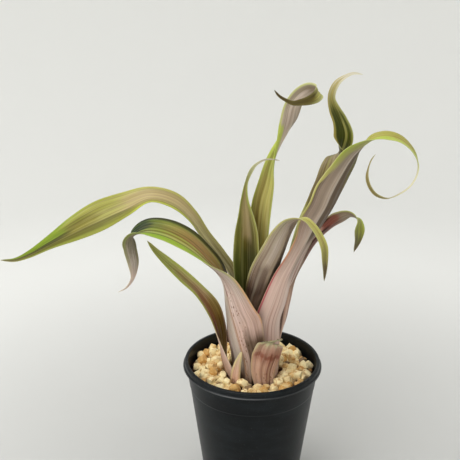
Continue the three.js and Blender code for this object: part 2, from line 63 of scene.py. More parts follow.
MM = 0.001
TURN = 2 * math.pi
ARC_STEPS = 6  # in the rounding of a profile's corner
DENSE_STEPS = 2000  # for measuring along a blade
NUDGE = 1e-4  # either way, for the direction of a curve

# The stem's axis and the level that every sheath stands on, in millimetres
STEM_X = 4
STEM_Y = -4
SHEATH_FOOT = 98

# How a blade is formed, in millimetres, or in shares of its length for the keel
KEEL_START, KEEL_FULL = 0.3, 0.6
KEEL_SHARPNESS = 5
TIP_TAPER = 3
BLUNT_TIP = 0.02
LEAST_HALF_WIDTH = 0.4
LEAST_WRAP = 2
PLEAT_SPACING = 6.5
RIPPLE_HEIGHT = 0.35
RIPPLE_SPACING = 11
FLAT_BELOW = 8  # half widths under this have lower pleats, ripples and ribs
TIP_THINNING = 0.45
FOOT_SLIDE = 12
LEAF_SEED, DRY_LEAF_SEED = 11, 31

# The pot, in metres
RIM_DEPTH = 4.5 * MM
HOLE_RADIUS = 3.2 * MM
HOLE_RING = 22 * MM

# The gravel: the height of its edge at the wall, and the heights at which grains can meet the
# sheaths, in metres. The sheaths' reach is measured in sectors round the stem.
GRAVEL_EDGE = 0.1048
NEAR_LOW, NEAR_MIDDLE, NEAR_HIGH = 0.1, 0.108, 0.122
SECTORS = 36
LEAST_REACH = 0.01
GRAIN_ATTRIBUTES = {"turn": "FLOAT_VECTOR", "size": "FLOAT_VECTOR", "tint": "FLOAT"}
LAYER_PITCHES = (0.92, 1.02, 1.9)  # spacing in grain widths, from the lowest layer up
LAYER_RISE = 0.42
LAYER_SHIFT = (0.37, 0.29)
LINE_PITCH = 0.87
STRAY = (-0.3, 0.3)
GRAIN_SIZES = (0.78, 1.2)
GRAIN_STRETCH = ((0.85, 1.2), (0.8, 1.05), (0.7, 0.95))
WALL_GAP, SHEATH_GAP, BLADE_GAP = 0.42, 0.3, 0.46  # from a grain's centre, in its widths
WORN_RADIUS = 0.56
SWIRLS = 260.0  # lumps per metre on a grain
TINT_SPREAD = 900.0  # sets the noise of grains of different tints apart

# The studio, in metres
COVE_RADIUS = 0.6
WALL_HEIGHT = 1.3
COVE_STEPS = 16
FLOOR_SIDES = 96
AIR_COLOUR = "F4F5F3"
AIR_STRENGTH = 0.33
LIGHTS = (  # name, place, target, size and power in watts
    ("overhead_softbox", (-0.35, 0.1, 1.5), (0, 0.05, 0.1), 1.2, 14.5),
    ("front_left_softbox", (-0.75, -0.95, 0.9), (0, 0, 0.2), 0.8, 6.8),
    ("right_softbox", (1.0, 0.4, 0.9), (0, 0, 0.2), 0.8, 1.5),
)


def linear(code):
    """An sRGB hex colour as linear red, green and blue."""
    values = [int(code[i:i + 2], 16) / 255 for i in (0, 2, 4)]
    return tuple(v / 12.92 if v <= 0.04045 else ((v + 0.055) / 1.055) ** 2.4 for v in values)


# Leaf colours, by the tissue that shows them
PINK, PINK_PALE, PINK_BROWN = "D6B5A6", "E3CCC1", "B08C7A"
TAUPE, TAUPE_GREY, TAUPE_DARK = "94836F", "9A8A80", "6C5A48"
OLIVE, OLIVE_DEEP = "938B45", "665F22"
GREEN_DARK, GREEN_BLUE = "3B4114", "36431F"
UMBER, RUST, CRIMSON, ORANGE = "5A3416", "8E4A38", "B4505A", "C98A62"
LIME, LIME_PALE, YELLOW_GREEN = "B7C455", "CCD188", "C0BC62"
CREAM, TIP, TIP_GREY = "E0D8C0", "5C4B30", "938C7C"

# Each leaf is told from its foot to its tip.
#   foot: the sheath's lowest rows, on a circle round the stem: azimuth, radius, height and wrap
#   rows: the midrib's x, y and z, the half width, the wrap in degrees, and the inner face's look
#   keel, keel_at: how sharply the blade is keeled, and where across it
#   upper_, under_, margin: {place along the leaf: colour} on each face's middle and sides and at
#     the margins
#   band: {place along the leaf: width of the margin's colour in millimetres}, and edging its strength
#   stripes, contrast: the strength of the paler and the darker lines along the veins
#   speckle: the flecks' strength, and where they are across the blade
#   marks: see marked
#   tear, pleat: the depth of a torn end, and the height of the pleats
# Places along the leaf go from 0 at the foot to 1 at the tip, and those across from -1 to 1.
PLAIN_LEAF = dict(
    foot=(), keel=0.0, keel_at=0.0, band={0.0: 1.7}, edging=0.6, stripes=0.5, contrast=0.6,
    speckle=None, upper_marks=(), under_marks=(), tear=0.0, pleat=0.16,
)
LEAVES = {}
LEAVES["leaf_centre"] = dict(
    slot="leaf_green", keel=0.3, stripes=0.55, contrast=0.34,
    foot=[(95, 8.6, 98, 84), (95, 9.6, 122, 84)],
    rows=[
        (4.5, 7, 145, 7.4, 105, 0, -0.98, 0.05), (3.6, 10.5, 166.5, 7.6, 90, 0, -0.98, 0.1),
        (3.8, 13.5, 191, 7.8, 80, 0, -0.98, 0.15), (4.6, 16, 214, 8, 80, -0.05, -0.98, 0.15),
        (6.6, 18, 232.5, 8.1, 90, -0.15, -0.97, 0.15), (10.5, 18, 248.5, 7, 100, -0.4, -0.9, 0.2),
        (13.5, 16, 263, 5.6, 110, -0.75, -0.6, 0.2), (18, 13, 275, 6.2, 125, -0.95, 0, 0.2),
        (22.9, 10, 285.5, 8.2, 112, -0.85, 0.5, 0.3), (25.6, 7, 294.2, 9, 80, -0.6, 0.75, 0.35),
        (27.5, 3, 305.5, 7.8, 55, -0.35, 0.8, 0.45), (33, -2, 313, 7.8, 50, -0.1, 0.75, 0.6),
        (38, -8, 316.5, 6.4, 45, 0.5, 0.35, 0.75), (40.5, -14, 316, 5, 40, 0.8, -0.4, 0.4),
        (38, -18, 313, 3.8, 40, 0.6, -0.7, 0.3), (33.5, -19.5, 311, 2.8, 35, 0.3, -0.9, 0.2),
        (28.5, -20, 310, 2, 30, 0.1, -0.95, 0.1), (23.5, -20, 309.5, 1.4, 25, 0, -0.95, 0.1),
        (18.5, -19.5, 311.5, 1, 20, 0, -0.95, 0.2), (14.5, -19, 314, 0.8, 15, 0.1, -0.9, 0.3),
        (11.5, -18, 317.5, 0.5, 10, 0.2, -0.9, 0.3),
    ],
    upper_marks=[
        (-0.45, -0.25, 0.12, 0.3, 0.62, 0.06, "5B4A12", 0.45),
        (0.2, 0.36, 0.1, 0.34, 0.6, 0.06, "A9A35E", 0.55),
        # The last mark on the next line darkens the inner face from 0 to 0.3: painted shade inside the tube
        # of sheaths.
        (-0.1, 0.04, 0.06, 0.2, 0.66, 0.05, "B9B070", 0.4), (-1.0, 1.0, 0.1, 0.0, 0.3, 0.1, "7A6038", -0.7),
        (-1.0, 1.0, 0.1, 0.9, 1.0, 0.03, "7A6430", -0.8),
    ],
    under_marks=[
        (0.66, 1.0, 0.14, 0.56, 0.71, 0.03, "B4C24E", 0.85),
        (-0.6, -0.2, 0.2, 0.7, 0.79, 0.04, "8A7564", -0.25),
    ],
    upper_mid={
        0.3: OLIVE_DEEP, 0.42: "A8964A", 0.52: "BDB05E", 0.62: "A9B452", 0.85: YELLOW_GREEN, 0.92: "8B8238",
        0.97: TIP,
    },
    upper_side={
        0.3: GREEN_DARK, 0.42: "AEA464", 0.52: "BDB46C", 0.66: LIME, 0.85: LIME_PALE, 0.93: OLIVE, 1.0: TIP,
    },
    under_mid={0.2: PINK, 0.55: OLIVE, 0.64: "F6E8D8", 0.73: "BFAF9F", 0.8: "E2D2C4", 0.86: TAUPE},
    under_side={0.2: PINK_BROWN, 0.55: "9AA054", 0.66: "E2D6BE", 0.74: "B9A996", 0.86: "A39A80"},
    margin={0.3: "9A9A58", 0.5: "A9B24E", 0.66: LIME, 0.85: LIME_PALE, 0.95: OLIVE, 1.0: TIP},
)
LEAVES["leaf_centre_left"] = dict(
    slot="leaf_green", keel=0.3, keel_at=0.1, stripes=0.2, contrast=0.3, edging=0.4,
    foot=[(150, 6.6, 98, 118), (152, 7.6, 122, 105)],
    rows=[
        (-5.5, -1, 146, 8, 95, 0.5, -0.85, 0.05), (-5.5, 0, 171, 9.6, 90, 0.25, -0.93, 0.1),
        (-5.5, 3.5, 191.5, 10.4, 75, 0.15, -0.95, 0.15), (-5.5, 6, 211.5, 9.2, 70, 0.15, -0.95, 0.15),
        (-6, 7.5, 223.5, 6.8, 75, 0.2, -0.95, 0.15), (-7, 8, 237.5, 3.4, 85, 0.3, -0.9, 0.2),
        (-5.8, 8, 249.5, 1.5, 80, 0.5, -0.8, 0.2), (-2, 7.5, 259, 1.3, 50, 0.2, -0.8, 0.4),
        (2, 7, 264, 1, 30, -0.2, -0.7, 0.6), (9, 6, 267.5, 0.8, 20, -0.1, -0.5, 0.8),
        (18, 5, 267, 0.5, 10, 0.1, -0.4, 0.9),
    ],
    upper_marks=[
        (-0.32, -0.2, 0.08, 0.3, 0.8, 0.06, "A9A668", 0.22),
        (0.25, 0.5, 0.15, 0.3, 0.66, 0.06, "33300A", 0.45),
        (-0.9, -0.5, 0.15, 0.34, 0.66, 0.06, "6A7230", 0.4),
        (-0.2, 0.35, 0.2, 0.62, 0.8, 0.05, "B7A077", 0.5),
    ],
    upper_mid={
        0.38: GREEN_DARK, 0.5: "4A4A18", 0.6: "6B5F24", 0.7: "A3935E", 0.8: OLIVE, 0.87: "9C9A74",
        0.93: TIP_GREY,
    },
    upper_side={
        0.38: GREEN_BLUE, 0.5: "5E6430", 0.6: OLIVE, 0.7: "8F8A4C", 0.8: "9FA35A", 0.88: "A5A26A",
        0.95: TIP_GREY,
    },
    under_mid={0.3: PINK, 0.6: TAUPE, 0.85: OLIVE},
    under_side={0.3: PINK_BROWN, 0.6: TAUPE_DARK, 0.85: OLIVE},
    margin={0.4: "9A9A50", 0.6: "A7A85C", 0.78: LIME, 0.88: "B9BA86", 0.95: TIP_GREY},
)
LEAVES["leaf_back_right"] = dict(
    slot="leaf_green", keel=0.3, contrast=0.5,
    foot=[(10, 7, 98, 95), (8, 8, 122, 88)],
    rows=[
        (19.5, -4.2, 162, 6.8, 90, -0.75, 0.6, 0.1), (27.5, -3.8, 182, 8.2, 85, -0.65, 0.75, 0.1),
        (34.5, -3.2, 203.5, 9.2, 75, -0.5, 0.85, 0.2), (40.5, -2.5, 222.5, 10, 60, -0.4, 0.9, 0.2),
        (49.5, 0.5, 240, 12, 45, -0.35, 0.92, 0.2), (54.2, 5, 253, 10.6, 50, -0.3, 0.93, 0.2),
        (59.4, 9.5, 267, 9.4, 82, 0.25, 0.94, 0.1), (60.8, 11.2, 275, 9.2, 126, 0.85, -0.5, 0.05),
        (61.9, 11, 284.5, 7.5, 75, 0.2, -0.97, 0.1), (59.3, 10, 293.5, 5.5, 55, 0.15, -0.95, 0.15),
        (54.8, 8, 302, 4.1, 50, 0.1, -0.95, 0.2), (52.4, 7, 309, 2.7, 50, 0, -0.95, 0.3),
        (53, 6, 315, 2.4, 45, -0.1, -0.9, 0.4), (56, 5, 320.5, 2.2, 35, -0.2, -0.8, 0.6),
        (61, 4, 324.5, 1.4, 25, -0.2, -0.7, 0.7), (66, 3, 326.5, 0.9, 20, -0.1, -0.7, 0.7),
        (72, 2, 326, 0.5, 10, 0.1, -0.6, 0.8),
    ],
    upper_marks=[
        (-0.55, 0.2, 0.25, 0.68, 0.84, 0.04, "3A4000", 0.8),
        (0.3, 0.42, 0.08, 0.7, 0.8, 0.03, "A9A25C", 0.7),
        (-1.0, -0.82, 0.12, 0.66, 1.0, 0.03, "A9944E", 0.7),
    ],
    under_marks=[
        (0.66, 0.86, 0.06, 0.4, 0.6, 0.05, "7C7A30", 0.7),
        (0.72, 1.0, 0.12, 0.56, 0.7, 0.03, "6E5A44", 0.55),
    ],
    upper_mid={0.5: OLIVE_DEEP, 0.7: "525400", 0.8: "424400", 0.86: OLIVE, 0.92: "B2A468", 0.97: TIP_GREY},
    upper_side={0.5: OLIVE, 0.7: "5B5F16", 0.8: "5F6A22", 0.87: "A8A25A", 0.93: "BDB684", 0.98: "A39A88"},
    under_mid={
        0.2: PINK, 0.38: PINK_PALE, 0.5: "B89F86", 0.6: "C0A08A", 0.68: "9A8C62", 0.74: GREEN_DARK,
        0.85: OLIVE,
    },
    under_side={
        0.2: PINK_BROWN, 0.4: "A99484", 0.5: "A08A74", 0.6: "9C8474", 0.68: "A59C5C", 0.74: "6E7022",
        0.85: OLIVE,
    },
    margin={
        0.2: PINK_BROWN, 0.4: "8E9A3C", 0.52: LIME, 0.62: "B3A66E", 0.72: "A4A54C", 0.85: "A9A862",
        0.95: CREAM,
    },
)
LEAVES["leaf_inner_right"] = dict(
    slot="leaf_pink", keel=0.35, contrast=0.3,
    foot=[(-80, 9.5, 98, 105), (-80, 10.5, 122, 100)],
    rows=[
        (2, -14, 164.5, 9.2, 100, -0.05, 0.98, 0.05), (5.5, -14.5, 176, 12, 95, -0.3, 0.92, 0.1),
        (10, -15.5, 190.5, 13.4, 90, -0.4, 0.87, 0.2), (15.8, -17.5, 205.5, 13.4, 85, -0.5, 0.75, 0.4),
        (20.8, -21, 221, 11.4, 72, -0.45, 0.6, 0.6), (25.5, -26, 231.5, 7.6, 55, -0.2, 0.4, 0.9),
        (32, -30, 234, 5.4, 45, 0.3, 0, 0.95), (38, -32, 229.5, 3.8, 40, 0.65, -0.45, 0.6),
        (42.5, -33, 223, 3.6, 40, 0.75, -0.6, 0.3), (45.5, -34, 215.5, 3.6, 40, 0.7, -0.7, 0.1),
        (46.5, -34, 207, 2.8, 35, 0.6, -0.8, 0.1), (47, -34, 199, 1.6, 30, 0.5, -0.85, 0.1),
        (47, -33.5, 191.5, 0.5, 10, 0.5, -0.85, 0.1),
    ],
    under_marks=[
        # The marks in 947A60 and 3A2C10 darken the side towards -1: painted shade where the blade curls away
        # from the light.
        (-1.0, -0.12, 0.12, 0.3, 0.68, 0.06, "947A60", -0.55),
        (-0.2, -0.06, 0.06, 0.2, 0.6, 0.08, "C9B69C", 0.45),
        (-1.0, 1.0, 0.1, 0.0, 0.4, 0.08, "6A4A2C", -0.65),
        (-1.0, -0.3, 0.15, 0.2, 0.5, 0.05, "3A2C10", 0.7), (0.1, 0.5, 0.2, 0.4, 0.48, 0.05, "5C4030", -0.6),
        (0.42, 0.5, 0.06, 0.3, 0.7, 0.06, "BDAE98", 0.35),
    ],
    upper_mid={0.5: OLIVE_DEEP, 0.72: YELLOW_GREEN, 0.84: "BDB262", 0.9: OLIVE, 0.95: TIP},
    upper_side={0.5: OLIVE, 0.72: "B9B56A", 0.84: YELLOW_GREEN, 0.91: OLIVE, 0.96: TIP},
    under_mid={0.15: PINK, 0.35: "B0917A", 0.45: "B0977F", 0.6: "BEAE9C", 0.75: TAUPE},
    under_side={0.15: PINK_BROWN, 0.35: "8A6E56", 0.45: "7C6856", 0.58: "A6947C", 0.75: "9A9270"},
    margin={0.2: PINK_BROWN, 0.38: "A89A62", 0.5: "B7B06A", 0.7: "C6C070", 0.88: YELLOW_GREEN, 0.96: TIP},
)
LEAVES["leaf_far_left"] = dict(
    slot="leaf_green", keel=0.6, keel_at=-0.2, stripes=0.6, contrast=0.32, edging=0.3,
    foot=[(165, 12, 98, 105), (165, 13, 122, 100)],
    rows=[
        (-13.7, 0.4, 150, 9.4, 88, 0.97, -0.2, 0.1), (-15.3, 9.3, 176.5, 8, 88, 0.9, -0.3, 0.3),
        (-25, 10.4, 193.5, 7, 90, 0.7, -0.35, 0.5), (-36.5, 10.5, 209.5, 6.4, 85, 0.6, -0.4, 0.6),
        (-46.5, 10, 225, 7, 80, 0.5, -0.4, 0.7), (-58, 9, 235.5, 8.4, 70, 0.3, -0.45, 0.85),
        (-74.5, 7, 240, 9.6, 60, 0, -0.4, 0.95), (-92, 4, 233.6, 11.6, 60, -0.2, -0.6, 0.75),
        (-109.5, 0, 226.6, 12.8, 60, -0.28, -0.72, 0.65), (-127.5, -3, 218, 10.8, 60, -0.35, -0.7, 0.65),
        (-145.5, -5, 208.8, 6.4, 55, -0.4, -0.65, 0.65), (-160.5, -6, 200.8, 3.7, 40, -0.35, -0.55, 0.8),
        (-172, -6, 196.6, 1.8, 20, -0.1, -0.45, 0.9), (-182, -6, 196.5, 0.5, 10, 0.1, -0.4, 0.9),
    ],
    upper_marks=[
        # The dark lines from -0.3 to -0.22, in this mark and in the last one, lie beside the keel's fold at
        # -0.2: painted shade in the crease.
        (-0.3, -0.22, 0.05, 0.56, 0.86, 0.05, "5A5420", 0.7),
        (-0.2, 0.55, 0.25, 0.48, 0.64, 0.06, "B9A07C", 0.4),
        (-0.66, -0.3, 0.12, 0.68, 0.99, 0.05, "5C5A10", 0.75),
        (0.3, 0.9, 0.2, 0.84, 0.97, 0.04, "76900A", 0.75),
        (-0.1, 0.2, 0.08, 0.84, 0.98, 0.05, "3A3C06", 0.75),
        (-1.0, -0.72, 0.08, 0.44, 0.64, 0.05, "B4C03A", 0.8),
        (-1.0, -0.7, 0.12, 0.68, 0.94, 0.05, "7E822A", 0.75),
        (-0.66, -0.54, 0.05, 0.44, 0.7, 0.04, "7E7C28", 0.6),
        (-0.3, -0.22, 0.05, 0.36, 0.56, 0.05, "8A8048", 0.45),
    ],
    upper_mid={
        0.22: "7C7440", 0.34: "988E60", 0.44: "B8AE7C", 0.58: "B4A66C", 0.7: "ADA85C", 0.8: "827A26",
        0.9: "5A581A", 0.96: TIP,
    },
    upper_side={
        0.22: OLIVE, 0.36: "A59E6A", 0.5: "A89E5C", 0.62: "B0AA5A", 0.74: "A8A848", 0.84: "8C9A30",
        0.93: "6D7322", 0.98: TIP,
    },
    under_mid={0.2: PINK, 0.4: TAUPE_GREY, 0.7: TAUPE, 0.9: OLIVE},
    under_side={0.2: PINK_BROWN, 0.4: TAUPE, 0.7: "8F8A5C", 0.9: OLIVE},
    margin={0.2: "A69A70", 0.4: "AFAE62", 0.58: "B5B84E", 0.75: "9CA83C", 0.88: "80961E", 0.97: "8A7B52"},
)
LEAVES["leaf_low_right"] = dict(
    slot="leaf_pink", keel=0.4, contrast=0.5,
    foot=[(36, 15, 98, 58), (33, 16.3, 118, 56)],
    rows=[
        (24, 3.6, 142, 7.6, 90, -0.85, 0.35, 0.1), (27, 7.2, 157, 7.4, 90, -0.75, 0.55, 0.2),
        (30.5, 10, 174.5, 7.8, 85, -0.65, 0.6, 0.3), (37, 12, 189.5, 7.8, 78, -0.5, 0.7, 0.4),
        (45, 13, 204, 7.6, 72, -0.45, 0.75, 0.45), (55.3, 12.8, 215, 8.6, 65, -0.4, 0.7, 0.55),
        (63, 11, 221.8, 8.8, 58, -0.3, 0.8, 0.5), (69.5, 8, 226, 6.4, 50, 0.1, 0.6, 0.75),
        (75, 4, 224, 5.4, 45, 0.85, -0.2, 0.5), (75.8, 2, 216.5, 5.2, 40, 0.6, -0.78, 0.15),
        (75.2, 1.5, 208.5, 3.4, 35, 0.6, -0.78, 0.1), (73, 1, 200, 0.5, 10, 0.6, -0.8, 0),
    ],
    under_marks=[
        (-0.1, 0.85, 0.15, 0.58, 0.76, 0.03, "8A4636", 0.7),
        (0.8, 0.94, 0.05, 0.54, 0.74, 0.03, "34160C", 0.8),
        (-0.22, -0.1, 0.05, 0.56, 0.76, 0.03, "34160C", 0.75),
        (0.36, 0.62, 0.12, 0.63, 0.68, 0.02, "D2AC98", 0.75),
        (0.06, 0.24, 0.1, 0.56, 0.7, 0.03, "2E1208", 0.85),
        (0.6, 1.0, 0.15, 0.24, 0.5, 0.06, "2E1A08", 0.75),
    ],
    upper_mid={0.5: OLIVE_DEEP, 0.8: "A29A58", 0.88: "A6AC4C", 0.95: "6E6A3C", 1.0: TIP},
    upper_side={0.5: OLIVE, 0.8: "A9A560", 0.88: LIME, 0.95: "7C7648", 1.0: TIP},
    under_mid={
        0.15: "DDBFAE", 0.34: "CDA690", 0.5: "8A694C", 0.62: "6E3A28", 0.72: "8A4C3A", 0.8: "A2927A",
        0.9: OLIVE,
    },
    under_side={
        0.15: "CFA892", 0.34: "C9A28A", 0.5: "A08264", 0.62: RUST, 0.72: "8F5644", 0.8: "AEA287",
        0.9: OLIVE,
    },
    margin={0.2: PINK, 0.45: "B39A80", 0.62: "A9825E", 0.76: "B1A678", 0.85: LIME, 0.96: TIP},
)
LEAVES["leaf_main_right"] = dict(
    slot="leaf_pink", keel=0.45, keel_at=0.05, stripes=0.35, contrast=0.18, edging=0.9,
    foot=[(-54, 15, 98, 98), (-52, 15.8, 120, 98)],
    rows=[
        (13.5, -16, 150, 13.6, 110, -0.55, 0.83, 0), (18, -16.5, 168, 12.6, 105, -0.5, 0.85, 0.1),
        (23, -15, 185.5, 10.4, 95, -0.55, 0.8, 0.15), (30, -13.5, 200.5, 8.8, 90, -0.6, 0.75, 0.25),
        (36.5, -12, 213, 9.4, 80, -0.5, 0.8, 0.3), (41.8, -11, 224.8, 12, 75, -0.4, 0.85, 0.3),
        (48.4, -9, 236.3, 12.3, 68, -0.4, 0.85, 0.3), (53.4, -7, 247.8, 12.7, 62, -0.4, 0.85, 0.3),
        (60.2, -5.5, 260.8, 11.2, 46, -0.4, 0.8, 0.4), (67.4, -4, 272, 10.6, 42, -0.45, 0.7, 0.5),
        (76.4, -3, 280.4, 7.4, 62, -0.4, 0.33, 0.82), (83, -3, 284.4, 4.8, 60, -0.15, -0.25, 0.92),
        (90.5, -3, 285.3, 4.6, 40, 0.1, -0.5, 0.85), (98, -3.5, 283.5, 4.4, 40, 0.4, -0.5, 0.75),
        (104.3, -4, 279.3, 3.9, 35, 0.7, -0.45, 0.55), (109.6, -4.5, 273, 3, 35, 0.85, -0.4, 0.3),
        (112.2, -5, 266, 2.2, 30, 0.98, -0.15, 0), (111.6, -5.5, 258.5, 2, 30, 0.9, -0.15, -0.4),
        (107.5, -6, 251, 1.8, 30, 0.65, -0.15, -0.75), (100.5, -7, 246, 1.7, 30, 0.3, -0.15, -0.95),
        (92.5, -8, 243, 1.6, 25, -0.1, -0.4, -0.9), (84.5, -8.5, 245.5, 1.7, 25, -0.5, -0.65, -0.6),
        (79.5, -9, 251, 1.6, 20, -0.7, -0.65, -0.4), (77, -9, 258, 1.4, 20, -0.8, -0.6, 0),
        (77.5, -9, 265, 1, 15, -0.9, -0.2, 0.4), (79, -9, 270, 0.8, 15, -0.8, -0.2, 0.55),
        (81.5, -9, 274, 0.5, 10, -0.7, -0.2, 0.6),
    ],
    band={0.18: 2.0, 0.36: 1.2, 0.5: 1.6, 0.54: 5.0, 0.6: 9.0, 0.66: 9.0, 0.7: 1.5},
    upper_marks=[
        (-1.0, -0.05, 0.2, 0.64, 0.72, 0.03, "A3964E", 0.75),
        (-1.0, 1.0, 0.1, 0.52, 0.6, 0.03, "A6B440", 0.7),
    ],
    under_marks=[
        # The first and the last mark darken the side towards -1: mostly painted shade on the half that turns
        # away from the light. The second is the paler midrib, brightened by a painted highlight along the
        # keel.
        (-1.0, -0.1, 0.08, 0.4, 0.68, 0.05, "55442F", 0.85),
        (-0.06, 0.06, 0.07, 0.34, 0.64, 0.05, "BFB0A0", 0.75),
        (0.3, 0.7, 0.2, 0.44, 0.62, 0.05, "8A7866", 0.5),
        (0.02, 0.06, 0.03, 0.08, 0.36, 0.04, "9A5E52", 0.45),
        (-0.22, -0.18, 0.03, 0.08, 0.3, 0.04, "A87E70", 0.4),
        (0.24, 0.3, 0.04, 0.14, 0.34, 0.04, "A87468", 0.35),
        (-0.62, -0.3, 0.12, 0.16, 0.34, 0.05, "D9C6BC", 0.5),
        (-0.5, -0.2, 0.2, 0.3, 0.6, 0.06, "5A4838", 0.45),
    ],
    upper_mid={
        0.3: "5E4A22", 0.55: "9A9A48", 0.66: "A8A24A", 0.74: "B4BC58", 0.79: "DAD2A8", 0.85: "D8CEAC",
        0.89: "8A8048", 0.95: "8A7E50", 0.99: CREAM,
    },
    upper_side={
        0.3: OLIVE_DEEP, 0.55: "9AA43C", 0.66: "A4B23C", 0.74: "AEBC4A", 0.79: "E2DCB8", 0.85: "DDD3B4",
        0.89: "94864E", 0.95: "8A7E50", 0.99: CREAM,
    },
    under_mid={
        0.1: PINK, 0.28: "E4C8B9", 0.38: "C8B1A0", 0.5: "B3A18E", 0.6: "9E9180", 0.7: CREAM, 0.85: "DED6C2",
        0.9: "8E845A", 0.98: CREAM,
    },
    under_side={
        0.1: PINK, 0.26: "CFAEA0", 0.36: "AE9484", 0.48: TAUPE_DARK, 0.58: "7A6B58", 0.7: "D5CDB2",
        0.85: "C9BE9C", 0.9: "8A7E54", 0.98: CREAM,
    },
    margin={
        0.1: CRIMSON, 0.27: CRIMSON, 0.35: ORANGE, 0.42: "A9A24E", 0.5: "C0B96A", 0.6: "A8B83E",
        0.74: "B4BE62", 0.8: "E0DAB4", 0.9: "9A8C56",
    },
)
LEAVES["leaf_front_left"] = dict(
    slot="leaf_pink", keel=0.25, stripes=0.4, contrast=0.32, speckle=(1.0, -0.42, -0.08),
    foot=[(237, 17.6, 98, 106), (235, 19.5, 121, 112)],
    rows=[
        (-11.8, -18.4, 140, 20.8, 118, 0.65, 0.76, 0.02), (-16.4, -15.8, 158, 23.6, 122, 0.84, 0.54, 0.1),
        (-22.6, -15.6, 185, 16.4, 108, 0.85, 0.25, 0.45), (-34, -15, 200, 12, 85, 0.5, -0.2, 0.8),
        (-47.5, -15.5, 213, 11.6, 70, 0.3, -0.4, 0.85), (-62, -15, 220.5, 11, 60, 0.1, -0.45, 0.9),
        (-74.5, -16, 222.5, 10, 55, -0.2, -0.35, 0.9), (-84.6, -18, 217.8, 8.2, 92, -0.66, 0.12, 0.5),
        (-85.4, -17.8, 209.5, 6, 60, -0.72, 0.62, 0.1), (-84, -19, 198.5, 4.4, 40, -0.6, 0.75, -0.1),
        (-85, -19, 188.5, 2.2, 30, -0.7, 0.6, 0.2), (-90, -20, 181, 1.2, 20, -0.5, 0.5, 0.5),
        (-96, -21, 178, 0.5, 10, -0.2, 0.4, 0.8),
    ],
    band={0.3: 0.8, 0.42: 2.4, 0.6: 2.8},
    upper_marks=[
        (0.86, 1.0, 0.08, 0.42, 0.72, 0.05, "221A08", 0.9),
        # The next mark's dark green band, from 0.73 to 0.84, is painted shade where the blade curls over at
        # its bend.
        (0.2, 1.0, 0.3, 0.73, 0.84, 0.03, "24331C", 0.8),
        (0.1, 0.16, 0.04, 0.48, 0.64, 0.05, "5E3E1C", 0.7),
        (0.15, 0.6, 0.2, 0.44, 0.6, 0.05, "A0744A", 0.45),
        (-0.14, -0.04, 0.04, 0.48, 0.74, 0.05, "6E6A20", 0.55),
        (-0.02, 0.08, 0.05, 0.56, 0.76, 0.05, "A3B048", 0.5),
        (0.3, 0.36, 0.04, 0.54, 0.74, 0.05, "5A4A1A", 0.5),
        (-0.95, -0.5, 0.1, 0.5, 0.78, 0.05, "93B034", 0.75),
        (-0.52, -0.4, 0.06, 0.5, 0.76, 0.04, "56601C", 0.6),
        (-0.36, -0.24, 0.06, 0.5, 0.74, 0.04, "B5BC6A", 0.6),
    ],
    under_marks=[
        (-0.1, -0.06, 0.03, 0.08, 0.4, 0.04, "A9805E", 0.7),
        (-0.14, -0.05, 0.03, 0.37, 0.42, 0.015, "7A2E22", 0.85),
        (0.02, 0.4, 0.06, 0.1, 0.44, 0.04, "CBBFAF", 0.7),
        # The next mark is a painted shadow: it darkens the base of the sheath from -0.9 to -0.4.
        (-0.9, -0.4, 0.2, 0.0, 0.18, 0.06, "665A34", -0.85),
        (-1.0, -0.97, 0.04, 0.26, 0.4, 0.04, "CE9468", 0.6),
    ],
    # The dark green stops from 0.76 to 0.85 on the inner face are painted shade where the blade curls over at
    # its bend.
    upper_mid={
        0.35: UMBER, 0.46: "7E7A38", 0.55: "A8905A", 0.62: "9C8C48", 0.7: "6E7A2A", 0.76: GREEN_BLUE,
        0.85: GREEN_DARK,
    },
    upper_side={
        0.35: "6E4A22", 0.46: OLIVE, 0.55: "90864A", 0.64: "848C3C", 0.71: "566420", 0.77: GREEN_BLUE,
        0.85: GREEN_DARK,
    },
    under_mid={
        0.02: "6E5540", 0.1: "B59A88", 0.2: PINK, 0.36: PINK_PALE, 0.5: TAUPE_GREY, 0.72: "65703A",
        0.8: "807A62", 0.88: "BBAFA2", 0.97: PINK_PALE,
    },
    under_side={
        0.02: "7E6450", 0.1: PINK, 0.3: PINK, 0.42: "BFB0A2", 0.55: TAUPE, 0.72: "5F6A30", 0.8: "77704E",
        0.88: "A99C8C", 0.97: PINK_PALE,
    },
    margin={
        0.08: "C49A7E", 0.3: "C9A286", 0.38: "B0A26C", 0.48: "A3AC50", 0.6: "A9BE4C", 0.74: "8DA63A",
        0.84: "8A8A5E", 0.94: PINK_PALE,
    },
)
